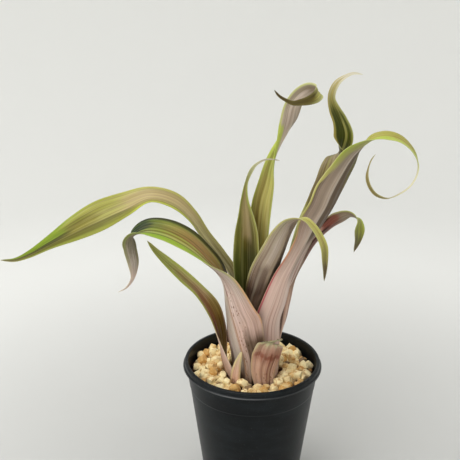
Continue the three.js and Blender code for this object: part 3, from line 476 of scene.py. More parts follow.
LEAVES["leaf_low_left"] = dict(
    slot="leaf_green", keel=0.5, contrast=0.36,
    foot=[(195, 20.3, 98, 70)],
    rows=[
        (-22.1, -9.6, 116, 14.5, 79, 0.98, 0.17, 0.1), (-25.6, -7, 140, 11.2, 66, 0.93, -0.25, 0.25),
        (-31, -9.5, 159.5, 8.6, 68, 0.7, -0.5, 0.5), (-40, -11, 174.5, 5.6, 68, 0.55, -0.6, 0.6),
        (-51.5, -13, 187.5, 5, 60, 0.45, -0.65, 0.6), (-62, -15, 199, 3.8, 50, 0.4, -0.65, 0.65),
        (-69.5, -16, 207.5, 2.2, 40, 0.4, -0.65, 0.65), (-74.5, -17, 215, 0.5, 15, 0.4, -0.65, 0.65),
    ],
    upper_marks=[
        (-0.1, 0.8, 0.2, 0.1, 0.5, 0.06, "7A6414", 0.65),
        (-0.75, -0.1, 0.15, 0.24, 0.56, 0.06, "7A4028", 0.5),
        (0.0, 0.1, 0.05, 0.4, 0.74, 0.06, "7E4A30", 0.5), (-1.0, -0.8, 0.1, 0.4, 0.96, 0.04, "A9B458", 0.6),
    ],
    upper_mid={
        0.15: "3E1E08", 0.36: "7A4426", 0.48: "A8845E", 0.6: "B0906C", 0.72: "B2A46C", 0.85: "A8AC5C",
        0.97: "A0A450",
    },
    upper_side={
        0.15: UMBER, 0.3: "845C14", 0.42: "988A42", 0.52: "BCB07C", 0.66: "C0C074", 0.8: "BAC06C",
        0.97: "B0B464",
    },
    under_mid={0.1: PINK_BROWN, 0.3: PINK, 0.5: TAUPE, 0.8: OLIVE},
    under_side={0.1: PINK, 0.3: PINK, 0.5: TAUPE, 0.8: OLIVE},
    margin={0.1: PINK, 0.3: PINK, 0.46: "A8946A", 0.58: "A3AC50", 0.8: LIME, 0.95: "A9A35C"},
)

# Dry remains: short blades with a torn upper end
DRY_LEAVES = {}
DRY_LEAVES["cut_leaf_stub"] = dict(
    slot="dry_leaf", stripes=0.3, contrast=0.26, speckle=(1.0, -1.0, 1.0), tear=3.0, pleat=0.5,
    rows=[
        (9.5, -25, 98, 6, 60, -0.15, 0.98, 0), (8, -25.5, 117, 9.6, 70, -0.15, 0.97, 0.1),
        (10, -27, 128, 11.6, 75, -0.15, 0.97, 0.2), (11.2, -28.6, 134, 11.4, 70, -0.15, 0.95, 0.3),
        (12.2, -30, 139, 10.8, 60, -0.15, 0.9, 0.4), (13.2, -29.4, 142.6, 9.6, 45, -0.15, 0.55, 0.8),
        (12.4, -27, 143.6, 5.4, 35, -0.1, 0.1, 0.98),
    ],
    under_marks=[
        (-0.7, 0.1, 0.2, 0.66, 0.69, 0.04, "7A3A2C", 0.6),
        (0.35, 0.75, 0.2, 0.71, 0.76, 0.04, "7A3A2C", 0.55),
        (-0.2, -0.14, 0.04, 0.2, 0.74, 0.05, "6E3A28", 0.7),
        (0.22, 0.3, 0.04, 0.1, 0.6, 0.05, "9A6A54", 0.5),
        (-0.5, -0.44, 0.04, 0.1, 0.66, 0.05, "7A4632", 0.7),
        (-1.0, 1.0, 0.1, 0.95, 1.0, 0.02, "C6C294", 0.75), (0.5, 0.95, 0.1, 0.1, 0.4, 0.05, "D0AA92", 0.5),
    ],
    upper_mid={0.3: UMBER, 0.7: "8A5A44", 1.0: "B09A78"},
    upper_side={0.3: UMBER, 0.7: "9A6A52", 1.0: "B8A888"},
    under_mid={0.1: "D0AC94", 0.5: "CCA088", 0.7: "A87058", 0.84: "BC907A", 0.96: "C9B692"},
    under_side={0.1: "D6B69C", 0.5: "D4AC94", 0.72: "B68670", 0.9: "BC9C80"},
    margin={0.1: "C7A98E", 0.6: "B9966E", 0.9: "C9BE94"},
)
DRY_LEAVES["dry_bract"] = dict(
    slot="dry_leaf", contrast=0.4, speckle=(0.5, -1.0, 1.0), tear=0.6, pleat=0.3,
    rows=[
        (-12.8, -22.8, 98, 3.4, 70, 0.2, 0.95, 0), (-13.2, -24.6, 112, 3.5, 60, 0.2, 0.95, 0.1),
        (-11.6, -25, 123, 2.6, 50, 0.1, 0.95, 0.2), (-8.8, -25.5, 133.5, 0.6, 20, 0.1, 0.95, 0.2),
    ],
    upper_mid={0.3: UMBER, 1.0: "B09A78"},
    upper_side={0.3: UMBER, 1.0: "B8A888"},
    under_mid={0.1: "C9A384", 0.5: "EABEA4", 0.9: "D8B898"},
    under_side={0.1: "C49C7C", 0.5: "E4B89E", 0.9: "D8C08E"},
    margin={0.1: "C8A080", 0.5: "E0C68E", 0.95: "E6D69A"},
)


def row(x, y, z, half_width, wrap, look_x, look_y, look_z):
    """One row of a leaf: the midrib's place, the size, and the inner face's look."""
    look = Vector((look_x, look_y, look_z)).normalized()
    return (x, y, z), (half_width, wrap), tuple(look)


def ring(azimuth, radius, z, wrap):
    """A row of a sheath that lies on a circle round the stem and looks at its axis."""
    angle = math.radians(azimuth)
    x, y = math.cos(angle), math.sin(angle)
    half_width = radius * math.radians(wrap) / 2
    return row(STEM_X + radius * x, STEM_Y + radius * y, z, half_width, wrap, -x, -y, 0)


def length(name, description, default):
    """A setting that is a length in metres."""
    return bpy.props.FloatProperty(name=name, description=description, default=default, unit="LENGTH")


def whole(name, description, default, least=0):
    """A setting that is a whole number."""
    return bpy.props.IntProperty(name=name, description=description, default=default, min=least)


def hue(name, description, code):
    """A setting that is a colour, from its hex code."""
    return bpy.props.FloatVectorProperty(
        name=name, description=description, default=linear(code), subtype="COLOR")


class PotSettings(bpy.types.PropertyGroup):
    """The nursery pot's sizes and colour."""

    height: length("Height", "From the surface to the top of the rim", POT_HIGH.z)
    rim_radius: length("Rim Radius", "To the outside of the rim's lower lip", POT_HIGH.x)
    base_radius: length("Base Radius", "At the foot of the wall", 0.036)
    sides: whole("Sides", "Steps round the pot", 144, 24)
    drain_holes: whole("Drain Holes", "Holes through the floor", 8, 1)
    colour: hue("Plastic", "Colour of the moulded plastic", "060A0D")


class GravelSettings(bpy.types.PropertyGroup):
    """The gravel's grains."""

    grain: length("Grain", "Usual width of a grain", 0.0064)
    level: length("Level", "Height of the lower grains' centres", 0.1035)
    mound: length("Mound", "Rise from the wall to the plant", 0.002)
    seed: whole("Seed", "Changes how the grains lie", 7)
    pale: hue("Pale Grain", "The commonest grain", "FFEDB8")
    tan: hue("Tan Grain", "The warmer grains", "D3A45C")


class LeafSettings(bpy.types.PropertyGroup):
    """What all leaves share."""

    thickness: length("Thickness", "Of the blade at its midrib", 0.0010)
    margin_thickness: length("Margin Thickness", "Of the blade at its margins", 0.00035)
    step: length("Step", "Length of a mesh step along the blade", 0.0011)
    column: length("Column", "Width of a mesh step across the blade", 0.00045)
    vein_spacing: length("Vein Spacing", "Between the ribs that run along the blade", 0.0013)
    vein_height: length("Vein Height", "How far a rib stands out", 0.00003)
    rim: hue("Rim", "The thin pale edge of a blade", "D9D6A4")
    scurf: hue("Scurf", "The scales that grey the leaf", "CFC8BE")


class StageSettings(bpy.types.PropertyGroup):
    """The floor and the camera."""

    floor_radius: length("Floor Radius", "Of the flat part of the floor", 0.9)
    floor_colour: hue("Floor", "Colour of the paper floor and wall", "E7E7E4")
    # Painted shade: the paper round the pot is darker, standing in for the pot's shadow on the floor.
    near_shade_colour: hue("Near Floor", "Colour of the paper round the pot", "C2C2BF")
    camera_place: bpy.props.FloatVectorProperty(
        name="Camera", description="Where the camera stands", default=(-0.017, -0.437, 0.356), unit="LENGTH")
    camera_pitch: bpy.props.FloatProperty(
        name="Pitch", description="How far the camera looks down", default=math.radians(17.6),
        unit="ROTATION")
    lens: bpy.props.FloatProperty(
        name="Lens", description="Focal length in millimetres", default=50, unit="CAMERA")


class BromeliadSettings(bpy.types.PropertyGroup):
    """All settings of the potted bromeliad."""

    pot: bpy.props.PointerProperty(type=PotSettings)
    gravel: bpy.props.PointerProperty(type=GravelSettings)
    leaf: bpy.props.PointerProperty(type=LeafSettings)
    stage: bpy.props.PointerProperty(type=StageSettings)


def settings():
    """The user's settings, which live on the scene."""
    return bpy.context.scene.bromeliad


# Nodes and materials

def set_inputs(tree, node, inputs):
    """Give a node its inputs: values or other nodes' sockets, by the input's name or number."""
    for key, value in inputs.items():
        if isinstance(value, bpy.types.NodeSocket):
            tree.links.new(value, node.inputs[key])
        else:
            node.inputs[key].default_value = value


def add_node(tree, kind, inputs=None, **options):
    """Add a node with its inputs and options."""
    node = tree.nodes.new(kind)
    for key, value in options.items():
        setattr(node, key, value)
    set_inputs(tree, node, inputs or {})
    return node


def made(tree, kind, inputs=None, **options):
    """The first output of a new node."""
    return add_node(tree, kind, inputs, **options).outputs[0]


def math_node(tree, operation, *values):
    """The output of a sum on one to three values or sockets."""
    return made(tree, "ShaderNodeMath", dict(enumerate(values)), operation=operation)


def plus(tree, a, b):
    """One number plus another."""
    return math_node(tree, "ADD", a, b)


def times(tree, a, b):
    """One number times another."""
    return math_node(tree, "MULTIPLY", a, b)


def vector_node(tree, operation, vector, other=None):
    """The output of a sum on a vector. The other value is a number for SCALE and a vector elsewhere."""
    inputs = {0: vector}
    if other is not None:
        inputs[3 if operation == "SCALE" else 1] = other
    node = add_node(tree, "ShaderNodeVectorMath", inputs, operation=operation)
    return node.outputs[1 if operation == "LENGTH" else 0]


def parts(tree, vector):
    """A vector's three parts."""
    return add_node(tree, "ShaderNodeSeparateXYZ", {0: vector}).outputs


def attribute(tree, name, output="Vector"):
    """A named attribute of the surface."""
    return add_node(tree, "ShaderNodeAttribute", attribute_name=name).outputs[output]


def object_place(tree):
    """The surface's place in metres."""
    return add_node(tree, "ShaderNodeTexCoord").outputs["Object"]


def axis_distance(tree, place):
    """How far a place is from the pot's axis."""
    return vector_node(tree, "LENGTH", vector_node(tree, "MULTIPLY", place, (1, 1, 0)))


def rgba(colour):
    """A hex code or a linear colour as red, green, blue and alpha."""
    return (*(linear(colour) if isinstance(colour, str) else colour), 1)


def mix(tree, factor, a, b, blend="MIX"):
    """Two colours mixed by a factor. Each is a socket, a hex code or a linear colour."""
    a, b = (side if isinstance(side, bpy.types.NodeSocket) else rgba(side) for side in (a, b))
    node = add_node(tree, "ShaderNodeMix", {0: factor, 6: a, 7: b}, data_type="RGBA", blend_type=blend)
    return node.outputs[2]


def fade(tree, value, start, end, high=1.0):
    """A smooth step: 0 where the value is at start and high where it is at end."""
    return made(tree, "ShaderNodeMapRange", {0: value, 1: start, 2: end, 3: 0.0, 4: high},
                interpolation_type="SMOOTHSTEP")


def between(tree, value, low, high, soft):
    """1 from low to high, and 0 beyond soft on either side."""
    return times(tree, fade(tree, value, low - soft, low), fade(tree, value, high + soft, high))


def noise(tree, vector, size, detail=2.0, roughness=0.5):
    """Noise whose grains are size = (x, y, z) long, in the vector's own units."""
    scaled = vector_node(tree, "MULTIPLY", vector, [1 / s for s in size])
    return made(tree, "ShaderNodeTexNoise",
                {"Vector": scaled, "Scale": 1.0, "Detail": detail, "Roughness": roughness})


def wander(tree, value, pattern, width):
    """A value moved by up to half a width either way, by a pattern from 0 to 1."""
    return plus(tree, value, math_node(tree, "MULTIPLY_ADD", pattern, width, -width / 2))


def stepped(tree, value, colours, interpolation):
    """A ramp through {place: linear colour} stops."""
    node = add_node(tree, "ShaderNodeValToRGB", {0: value})
    node.color_ramp.interpolation = interpolation
    elements = node.color_ramp.elements
    elements.remove(elements[-1])
    for number, (place, colour) in enumerate(colours.items()):
        element = elements.new(place) if number else elements[0]
        element.position = place
        element.color = rgba(colour)
    return node.outputs[0]


def ramp(tree, value, stops):
    """A colour that goes through {place: hex colour} stops."""
    return stepped(tree, value, stops, "EASE")


def levels(tree, value, stops):
    """A number that goes through {place: number up to 10} stops."""
    greys = {place: [number / 10] * 3 for place, number in stops.items()}
    return times(tree, stepped(tree, value, greys, "LINEAR"), 10)


def new_material(name):
    """A material and its node tree, with one Principled shader."""
    material = bpy.data.materials.new(name)
    material.use_nodes = True
    return material, material.node_tree


def shaded(material, colour, roughness, bump=None, **more):
    """Give a material its looks. bump is a height from 0 to 1, a distance in metres and a strength."""
    tree = material.node_tree
    inputs = {"Base Color": colour, "Roughness": roughness, "IOR": 1.45, **more}
    if bump:
        values = dict(zip(("Height", "Distance", "Strength"), bump, strict=True))
        inputs["Normal"] = made(tree, "ShaderNodeBump", values)
    set_inputs(tree, tree.nodes["Principled BSDF"], inputs)
    return material


def marked(tree, colour, mark, where, patterns):
    """One mark on a face: (across from, to, soft, along from, to, soft, colour, strength).

    A strength below 0 darkens by the colour, and one above 0 covers with it.
    """
    left, right, side_soft, start, end, end_soft, code, strength = mark
    across, along, face = where
    streak, cloud = patterns
    place = wander(tree, across, streak, 2 * min(side_soft, 0.12))
    run = wander(tree, along, cloud, 0.08)
    over = between(tree, place, left, right, side_soft)
    cover = times(tree, times(tree, over, between(tree, run, start, end, end_soft)), face)
    cover = times(tree, cover, abs(strength))
    return mix(tree, cover, colour, code, "MULTIPLY" if strength < 0 else "MIX")


def speckled(tree, colour, place, where, speckle):
    """Brown flecks and short streaks, as on an old sheath: (strength, across from, across to)."""
    amount, left, right = speckle
    across, along = where
    stretched = vector_node(tree, "MULTIPLY", place, (1 / 1.7, 1 / 3.0, 1))
    cells = add_node(tree, "ShaderNodeTexVoronoi", {"Vector": stretched, "Scale": 1.0, "Randomness": 1.0})
    flecks = fade(tree, cells.outputs["Distance"], 0.4, 0.2)
    patches = fade(tree, noise(tree, place, (3, 9, 1), 1), 0.42, 0.56)
    zone = times(tree, between(tree, across, left, right, 0.1), fade(tree, along, 0.44, 0.36, 0.75 * amount))
    return mix(tree, times(tree, times(tree, flecks, patches), zone), colour, "7E5236")


def leaf_tissue(name, leaf, seed):
    """Living leaf tissue, grown: parallel veins, a coat of pale scales, and lighter margins."""
    shared = settings().leaf
    material, tree = new_material(name)
    across, along, face = parts(tree, attribute(tree, "blade"))
    tissue = attribute(tree, "tissue")
    edge = parts(tree, tissue)[2]
    flat = vector_node(tree, "MULTIPLY", tissue, (1, 1, 0))
    place = vector_node(tree, "ADD", flat, (0, 0, 13.7 * seed))

    # Patterns in millimetres: veins 1 to 2 mm apart, broader bands of them, and soft cloudy patches
    streak = noise(tree, place, (1.5, 60, 1), 3)
    line = noise(tree, place, (0.9, 75, 1))
    broad = noise(tree, place, (3.6, 90, 1))
    seam = noise(tree, place, (0.8, 120, 1), 1)
    cloud = noise(tree, place, (7, 22, 1))
    grain = noise(tree, place, (0.35, 0.6, 1))

    station = wander(tree, wander(tree, along, cloud, 0.12), streak, 0.08)
    side = fade(tree, wander(tree, math_node(tree, "ABSOLUTE", across), streak, 0.7), 0.3, 0.85)
    upper, under = (
        mix(tree, side, ramp(tree, station, leaf[which + "_mid"]), ramp(tree, station, leaf[which + "_side"]))
        for which in ("upper", "under"))

    # Scales grey the outer face
    under = mix(tree, fade(tree, grain, 0.45, 0.75, 0.22), under, shared.scurf)
    outer = math_node(tree, "GREATER_THAN", face, 0.5)
    inner = math_node(tree, "SUBTRACT", 1.0, outer)
    colour = mix(tree, outer, upper, under)

    # Paler and darker lines along the veins
    pale = mix(tree, outer, "D8D092", "E4D3C6")
    colour = mix(tree, fade(tree, line, 0.5, 0.68, 0.5 * leaf["stripes"]), colour, pale)
    shade = mix(tree, outer, "857034", "A0806C")
    lines = ((streak, 0.52, 0.34, 1), (broad, 0.55, 0.36, 0.8), (seam, 0.42, 0.34, 1))
    for pattern, start, end, share in lines:
        dark = fade(tree, pattern, start, end, share * leaf["contrast"])
        colour = mix(tree, dark, colour, shade, "MULTIPLY")

    if leaf["speckle"]:
        colour = speckled(tree, colour, place, (across, along), leaf["speckle"])

    # Margins: a soft lime or pink band and a thin pale rim
    inset = math_node(tree, "DIVIDE", wander(tree, edge, streak, 1.2), levels(tree, along, leaf["band"]))
    band = fade(tree, inset, 1.0, 0.55, leaf["edging"])
    colour = mix(tree, band, colour, ramp(tree, along, leaf["margin"]))
    colour = mix(tree, fade(tree, edge, 0.5, 0.1, 0.35), colour, shared.rim)

    for marks, on_face in ((leaf["upper_marks"], inner), (leaf["under_marks"], outer)):
        for mark in marks:
            colour = marked(tree, colour, mark, (across, along, on_face), (streak, cloud))

    roughness = math_node(tree, "MULTIPLY_ADD", cloud, 0.2, 0.36)
    height = plus(tree, times(tree, line, 0.6), times(tree, grain, 0.4))
    return shaded(material, colour, roughness, (height, 0.00012, 1.0), **{
        "Specular IOR Level": 0.3, "Subsurface Weight": 0.08, "Subsurface Scale": 0.0015,
        "Subsurface Radius": (1.0, 0.8, 0.3)})


def moulded_plastic():
    """Polypropylene, injection moulded: near black, satin, with a fine moulded grain and light scuffs."""
    pot = settings().pot
    material, tree = new_material("moulded polypropylene")
    place = object_place(tree)
    scuff = noise(tree, place, (0.03, 0.03, 0.008), 4, 0.6)
    dust = noise(tree, place, [0.0012] * 3)
    mould = noise(tree, place, [0.0004] * 3, 1)
    colour = mix(tree, fade(tree, scuff, 0.35, 0.8), pot.colour, "171D20")
    colour = mix(tree, fade(tree, dust, 0.62, 0.8, 0.12), colour, "7A7A74")
    # The lip's upper side is rubbed smooth
    lip = pot.height - RIM_DEPTH
    outside = math_node(tree, "GREATER_THAN", axis_distance(tree, place), pot.rim_radius - 2 * MM)
    on_lip = between(tree, parts(tree, place)[2], lip + 0.3 * MM, lip + 0.8 * MM, 0.2 * MM)
    shine = math_node(tree, "MULTIPLY_ADD", times(tree, outside, on_lip), 0.6, 0.2)
    roughness = math_node(tree, "MULTIPLY_ADD", scuff, 0.16, 0.3)
    return shaded(material, colour, roughness, (mould, 0.00003, 0.6), **{
        "IOR": 1.49, "Specular IOR Level": shine})


def gravel_stone():
    """Crushed pale stone, tumbled: chalky and matte, with stained faces, and with painted shade that turns
    the lower grains, down in the gaps, a warm dark brown.
    """
    gravel = settings().gravel
    material, tree = new_material("crushed pale stone")
    place = object_place(tree)
    tint = attribute(tree, "tint", "Fac")
    pits = noise(tree, place, [0.0006] * 3, 3, 0.7)
    warm = fade(tree, wander(tree, tint, noise(tree, place, [0.003] * 3, 3), 0.8), 0.35, 0.95)
    colour = mix(tree, warm, gravel.pale, gravel.tan)
    stain = fade(tree, noise(tree, place, (0.0045, 0.0045, 0.003)), 0.56, 0.72, 0.75)
    colour = mix(tree, stain, colour, "BE8440")
    colour = mix(tree, fade(tree, tint, 0.945, 0.965, 0.85), colour, "5A5148")
    # Painted shade: grains below the top layer are darkened towards brown, as shade in the gaps between the
    # grains.
    painted_gap_shade = fade(tree, parts(tree, place)[2], 0.1086, 0.1042)
    colour = mix(tree, painted_gap_shade, colour, "7C4A1C", "MULTIPLY")
    return shaded(material, colour, 0.85, (pits, 0.0003, 0.7), IOR=1.52)


def substrate_with_gap_shade():
    """Damp bark and pumice under the gravel, coarse and dark brown; where it shows in the gaps between the
    grains, its dark brown is also painted shade.
    """
    material, tree = new_material("substrate with gap shade")
    lumps = noise(tree, object_place(tree), [0.003] * 3, 4, 0.65)
    # Dark brown: the substrate's own colour, and painted shade in the gaps between the grains above it.
    colour = mix(tree, fade(tree, lumps, 0.35, 0.7), "24160A", "6E4A26")
    return shaded(material, colour, 0.9, (lumps, 0.0015, 1.0))


def stem_tissue():
    """The short woody stem, brown and fibrous."""
    material, tree = new_material("fibrous stem")
    fibres = noise(tree, object_place(tree), (0.0008, 0.0008, 0.012), 3)
    return shaded(material, mix(tree, fibres, "4E3826", "8A6A48"), 0.8, (fibres, 0.0003, 1.0))


def matt_paper():
    """The studio's seamless paper: pale and matt, with painted shade that darkens it round the pot and fades
    out further away.
    """
    stage = settings().stage
    material, tree = new_material("seamless paper")
    distance = axis_distance(tree, object_place(tree))
    # Painted shade round the pot, fading out from 0.1 m to 0.6 m from the axis.
    colour = mix(tree, fade(tree, distance, 0.1, 0.6), stage.near_shade_colour, stage.floor_colour)
    return shaded(material, colour, 0.95, **{"Specular IOR Level": 0.1})


# Meshes

def make_object(name, mesh):
    """A new object at the origin."""
    piece = bpy.data.objects.new(name, mesh)
    bpy.context.scene.collection.objects.link(piece)
    return piece


def place_piece(mesh, node):
    """An object for the mesh. It stands for a node of the model, and rides with it."""
    piece = make_object(mesh.name, mesh)
    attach(piece, "root")
    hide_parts(node)


def mesh_from(name, points, faces, attributes=None):
    """A smooth mesh from arrays of points and faces, with vector attributes on its points."""
    mesh = bpy.data.meshes.new(name)
    mesh.from_pydata(points.tolist(), [], faces)
    for key, values in (attributes or {}).items():
        layer = mesh.attributes.new(key, "FLOAT_VECTOR", "POINT")
        layer.data.foreach_set("vector", values.astype(np.float32).ravel())
    mesh.shade_smooth()
    mesh.validate()
    return mesh


def unit(vectors):
    """Vectors of length 1."""
    return vectors / np.linalg.norm(vectors, axis=-1, keepdims=True)


def spline(knots, t, centripetal=False):
    """Points of an open Catmull-Rom curve through the knots, at parameters from 0 to 1."""
    ends = np.vstack([2 * knots[0] - knots[1], knots, 2 * knots[-1] - knots[-2]])
    place = np.clip(t, 0, 1) * (len(knots) - 1)
    index = np.minimum(place.astype(int), len(knots) - 2)
    w = (place - index)[:, None]
    p0, p1, p2, p3 = (ends[index + k] for k in range(4))
    if centripetal:
        d0, d1, d2 = (np.linalg.norm(b - a, axis=1, keepdims=True) ** 0.5
                      for a, b in ((p0, p1), (p1, p2), (p2, p3)))
        start = d1 * ((p1 - p0) / d0 - (p2 - p0) / (d0 + d1)) + (p2 - p1)
        end = d1 * ((p3 - p2) / d2 - (p3 - p1) / (d1 + d2)) + (p2 - p1)
    else:
        start = (p2 - p0) / 2
        end = (p3 - p1) / 2
    square = 3 * (p2 - p1) - 2 * start - end
    return p1 + start * w + square * w ** 2 + (2 * (p1 - p2) + start + end) * w ** 3


def smooth(x, start, end):
    """A smooth step from 0 at start to 1 at end."""
    x = np.clip((x - start) / (end - start), 0, 1)
    return x * x * (3 - 2 * x)


def ribs(across_mm, spacing_mm, generator):
    """Uneven ribs across a blade, from -1 to 1: three waves, each finer one lower."""
    total = np.zeros_like(across_mm)
    for share in (1.0, 0.62, 0.41):
        phase = generator.uniform(0, TURN)
        total += share * np.sin(TURN * across_mm * (1 + 0.3 * share) / spacing_mm + phase)
    return total / 2


def blade_frame(rows, step, blunt):
    """A blade's stations: their places from 0 to 1, its length, and at each one the centre, the way
    along, the way in, the half width and the half wrap."""
    points, sizes, looks = (np.array(part, float) for part in zip(*rows))
    dense = np.linspace(0, 1, DENSE_STEPS + 1)
    hops = np.linalg.norm(np.diff(spline(points, dense, True), axis=0), axis=1)
    reach = np.concatenate([[0], np.cumsum(hops)])
    total = reach[-1]
    u = np.linspace(0, 1, round(total * MM / step) + 1)
    t = np.interp(u * total, reach, dense)
    along = unit(spline(points, t + NUDGE, True) - spline(points, t - NUDGE, True))
    look = spline(looks, t)
    inward = unit(look - along * np.sum(look * along, axis=1, keepdims=True))
    size = spline(sizes, t)
    tip = 1 if blunt else np.sqrt(np.clip((1 - u) * total / TIP_TAPER, BLUNT_TIP, 1))
    half_width = np.maximum(size[:, 0], LEAST_HALF_WIDTH) * tip
    half_wrap = np.radians(np.maximum(size[:, 1], LEAST_WRAP)) / 2
    return u, total, spline(points, t, True), along, inward, half_width, half_wrap


def walked(values, half_width):
    """Sums of values across each section, from its middle outwards, in millimetres."""
    columns = values.shape[1] - 1
    sums = np.cumsum((values[:, 1:] + values[:, :-1]) / 2, axis=1)
    sums = np.concatenate([np.zeros((len(values), 1)), sums], axis=1)
    return (sums - sums[:, columns // 2][:, None]) * (2 / columns) * half_width[:, None]


def blade_mesh(name, leaf, seed):
    """A closed blade through the leaf's rows, with its pleats, ribs, keel and rounded margins."""
    shared = settings().leaf
    generator = random.Random(seed)
    rows = [ring(*values) for values in leaf["foot"]] + [row(*values) for values in leaf["rows"]]
    u, total, centre, along, inward, half_width, half_wrap = blade_frame(rows, shared.step, leaf["tear"])
    widest = max(size[0] for _, size, _ in rows)
    columns = 2 * round(widest * MM / shared.column)
    run = u[:, None]
    s = np.linspace(-1, 1, columns + 1)
    side = s[None]

    # The section: the way that it leans at each place across, walked from the middle outwards. The
    # root of 3 gives a keeled section the mean lean of an even one.
    keel = leaf["keel"] * smooth(run, KEEL_START, KEEL_FULL)
    fold = np.tanh((side - leaf["keel_at"]) * KEEL_SHARPNESS) / math.sqrt(3)
    lean = half_wrap[:, None] * (side * (1 - keel) + keel * fold)
    cos, sin = np.cos(lean), np.sin(lean)
    across = np.cross(along, inward)[:, None]
    inward = inward[:, None]
    normal = -across * sin[..., None] + inward * cos[..., None]
    edgeward = across * cos[..., None] + inward * sin[..., None]
    middle = centre[:, None] + across * walked(cos, half_width)[..., None]
    middle = middle + inward * walked(sin, half_width)[..., None]

    # Pleats and a slight ripple of the margins
    across_mm = side * widest + 0 * lean
    phase = generator.uniform(0, TURN)
    narrow = np.clip(half_width / FLAT_BELOW, 0, 1)[:, None]
    pleat = leaf["pleat"] * narrow * np.sin(across_mm * TURN / PLEAT_SPACING + phase + 1.5 * run)
    wave = np.sin(run * total / RIPPLE_SPACING + phase + 2 * np.sign(side))
    ripple = RIPPLE_HEIGHT * narrow * np.abs(side) ** 4 * wave
    middle = middle + normal * (pleat + ripple)[..., None]

    # Thickness, with fine ribs on both faces
    thick = shared.thickness / MM * (1 - TIP_THINNING * run ** 2)
    thin = shared.margin_thickness / MM
    slim = np.minimum(1, 0.35 + half_width / 3)[:, None]
    half_thick = (thick + (thin - thick) * np.abs(side) ** 3) / 2 * slim
    rib = ribs(across_mm, shared.vein_spacing / MM, generator) * shared.vein_height / MM * narrow
    swell = normal * (half_thick + rib)[..., None]
    low_edge = middle[:, :1] - edgeward[:, :1] * half_thick[:, :1, None]
    high_edge = middle[:, -1:] + edgeward[:, -1:] * half_thick[:, -1:, None]
    rings = np.concatenate([middle + swell, high_edge, (middle - swell)[:, ::-1], low_edge], axis=1)

    place = np.concatenate([s, [1], s[::-1], [-1]])
    face = np.concatenate([0 * s, [0.5], 0 * s + 1, [0.5]])
    if leaf["tear"]:
        rings = torn(rings, u, place, leaf["tear"] / total, generator)
    rings = flat_foot(rings, along[0], u * total)

    edge = (1 - np.abs(place))[None] * half_width[:, None]
    flat = 0 * edge
    blade = np.stack([place[None] + flat, run + flat, face[None] + flat], axis=-1)
    tissue = np.stack([place[None] * widest + flat, run * total + flat, edge], axis=-1)
    attributes = {"blade": blade.reshape(-1, 3), "tissue": tissue.reshape(-1, 3)}
    faces = ring_faces(len(u), rings.shape[1], columns)
    return mesh_from(name, rings.reshape(-1, 3) * MM, faces, attributes)


def torn(rings, u, place, depth, generator):
    """Shorten the blade unevenly, as where it was cut and tore."""
    waves = sum(generator.uniform(0.3, 1) * np.sin(place * k + generator.uniform(0, 6.3))
                for k in (2, 4.3, 9.1, 17))
    end = 1 - depth * (waves - waves.min()) / (waves.max() - waves.min())
    result = rings.copy()
    for column in range(rings.shape[1]):
        for axis in range(3):
            result[:, column, axis] = np.interp(u * end[column], u, rings[:, column, axis])
    return result


def flat_foot(rings, along, distance):
    """Slide the first rings along the blade so that it stands flat on its foot's level."""
    slide = (SHEATH_FOOT - rings[0, :, 2]) / along[2]
    share = np.clip(1 - distance / FOOT_SLIDE, 0, 1)
    return rings + share[:, None, None] * slide[None, :, None] * along


def ring_faces(count, size, columns):
    """Faces of a loft of rings, closed at both ends by strips from one face to the other."""
    faces = []
    for i in range(count - 1):
        for j in range(size):
            k = (j + 1) % size
            faces.append((i * size + j, i * size + k, (i + 1) * size + k, (i + 1) * size + j))
    last = (count - 1) * size
    for j in range(columns):
        other = 2 * columns + 2 - j
        faces.append((j, other, other - 1, j + 1))
        faces.append((last + j, last + j + 1, last + other - 1, last + other))
    for start, turn in ((0, 1), (last, -1)):
        high = [start + columns, start + columns + 2, start + columns + 1]
        low = [start, start + 2 * columns + 3, start + 2 * columns + 2]
        faces.append(tuple(high[::turn]))
        faces.append(tuple(low[::turn]))
    return faces


def outward(mesh):
    """Merge doubles and turn the faces outwards."""
    work = bmesh.new()
    work.from_mesh(mesh)
    bmesh.ops.remove_doubles(work, verts=work.verts, dist=1e-6)
    bmesh.ops.recalc_face_normals(work, faces=work.faces)
    work.to_mesh(mesh)
    work.free()
    mesh.update()


# Geometry Nodes

def new_group(name, numbers):
    """A Geometry Nodes group that takes geometry, {name: default} numbers and a material."""
    group = bpy.data.node_groups.new(name, "GeometryNodeTree")
    group.interface.new_socket("Geometry", in_out="INPUT", socket_type="NodeSocketGeometry")
    for label, default in numbers.items():
        kind = "NodeSocketInt" if isinstance(default, int) else "NodeSocketFloat"
        group.interface.new_socket(label, in_out="INPUT", socket_type=kind).default_value = default
    group.interface.new_socket("Material", in_out="INPUT", socket_type="NodeSocketMaterial")
    group.interface.new_socket("Geometry", in_out="OUTPUT", socket_type="NodeSocketGeometry")
    return group, add_node(group, "NodeGroupInput").outputs


def end_group(group, given, geometry):
    """Make the instances real, give them the material and lead them to the group's output."""
    real = made(group, "GeometryNodeRealizeInstances", {0: geometry})
    dressed = made(group, "GeometryNodeSetMaterial", {"Geometry": real, "Material": given["Material"]})
    add_node(group, "NodeGroupOutput", {0: dressed})
    return group


def grown(name, source, group, values):
    """The plain mesh that a node group makes of a source mesh."""
    carrier = make_object(name + "_source", source)
    modifier = carrier.modifiers.new("Nodes", "NODES")
    modifier.node_group = group
    for item in group.interface.items_tree:
        if item.in_out == "INPUT" and item.name in values:
            modifier[item.identifier] = values[item.name]
    graph = bpy.context.evaluated_depsgraph_get()
    mesh = bpy.data.meshes.new_from_object(carrier.evaluated_get(graph))
    carrier.modifiers.remove(modifier)
    bpy.data.objects.remove(carrier)
    mesh.name = name
    return mesh


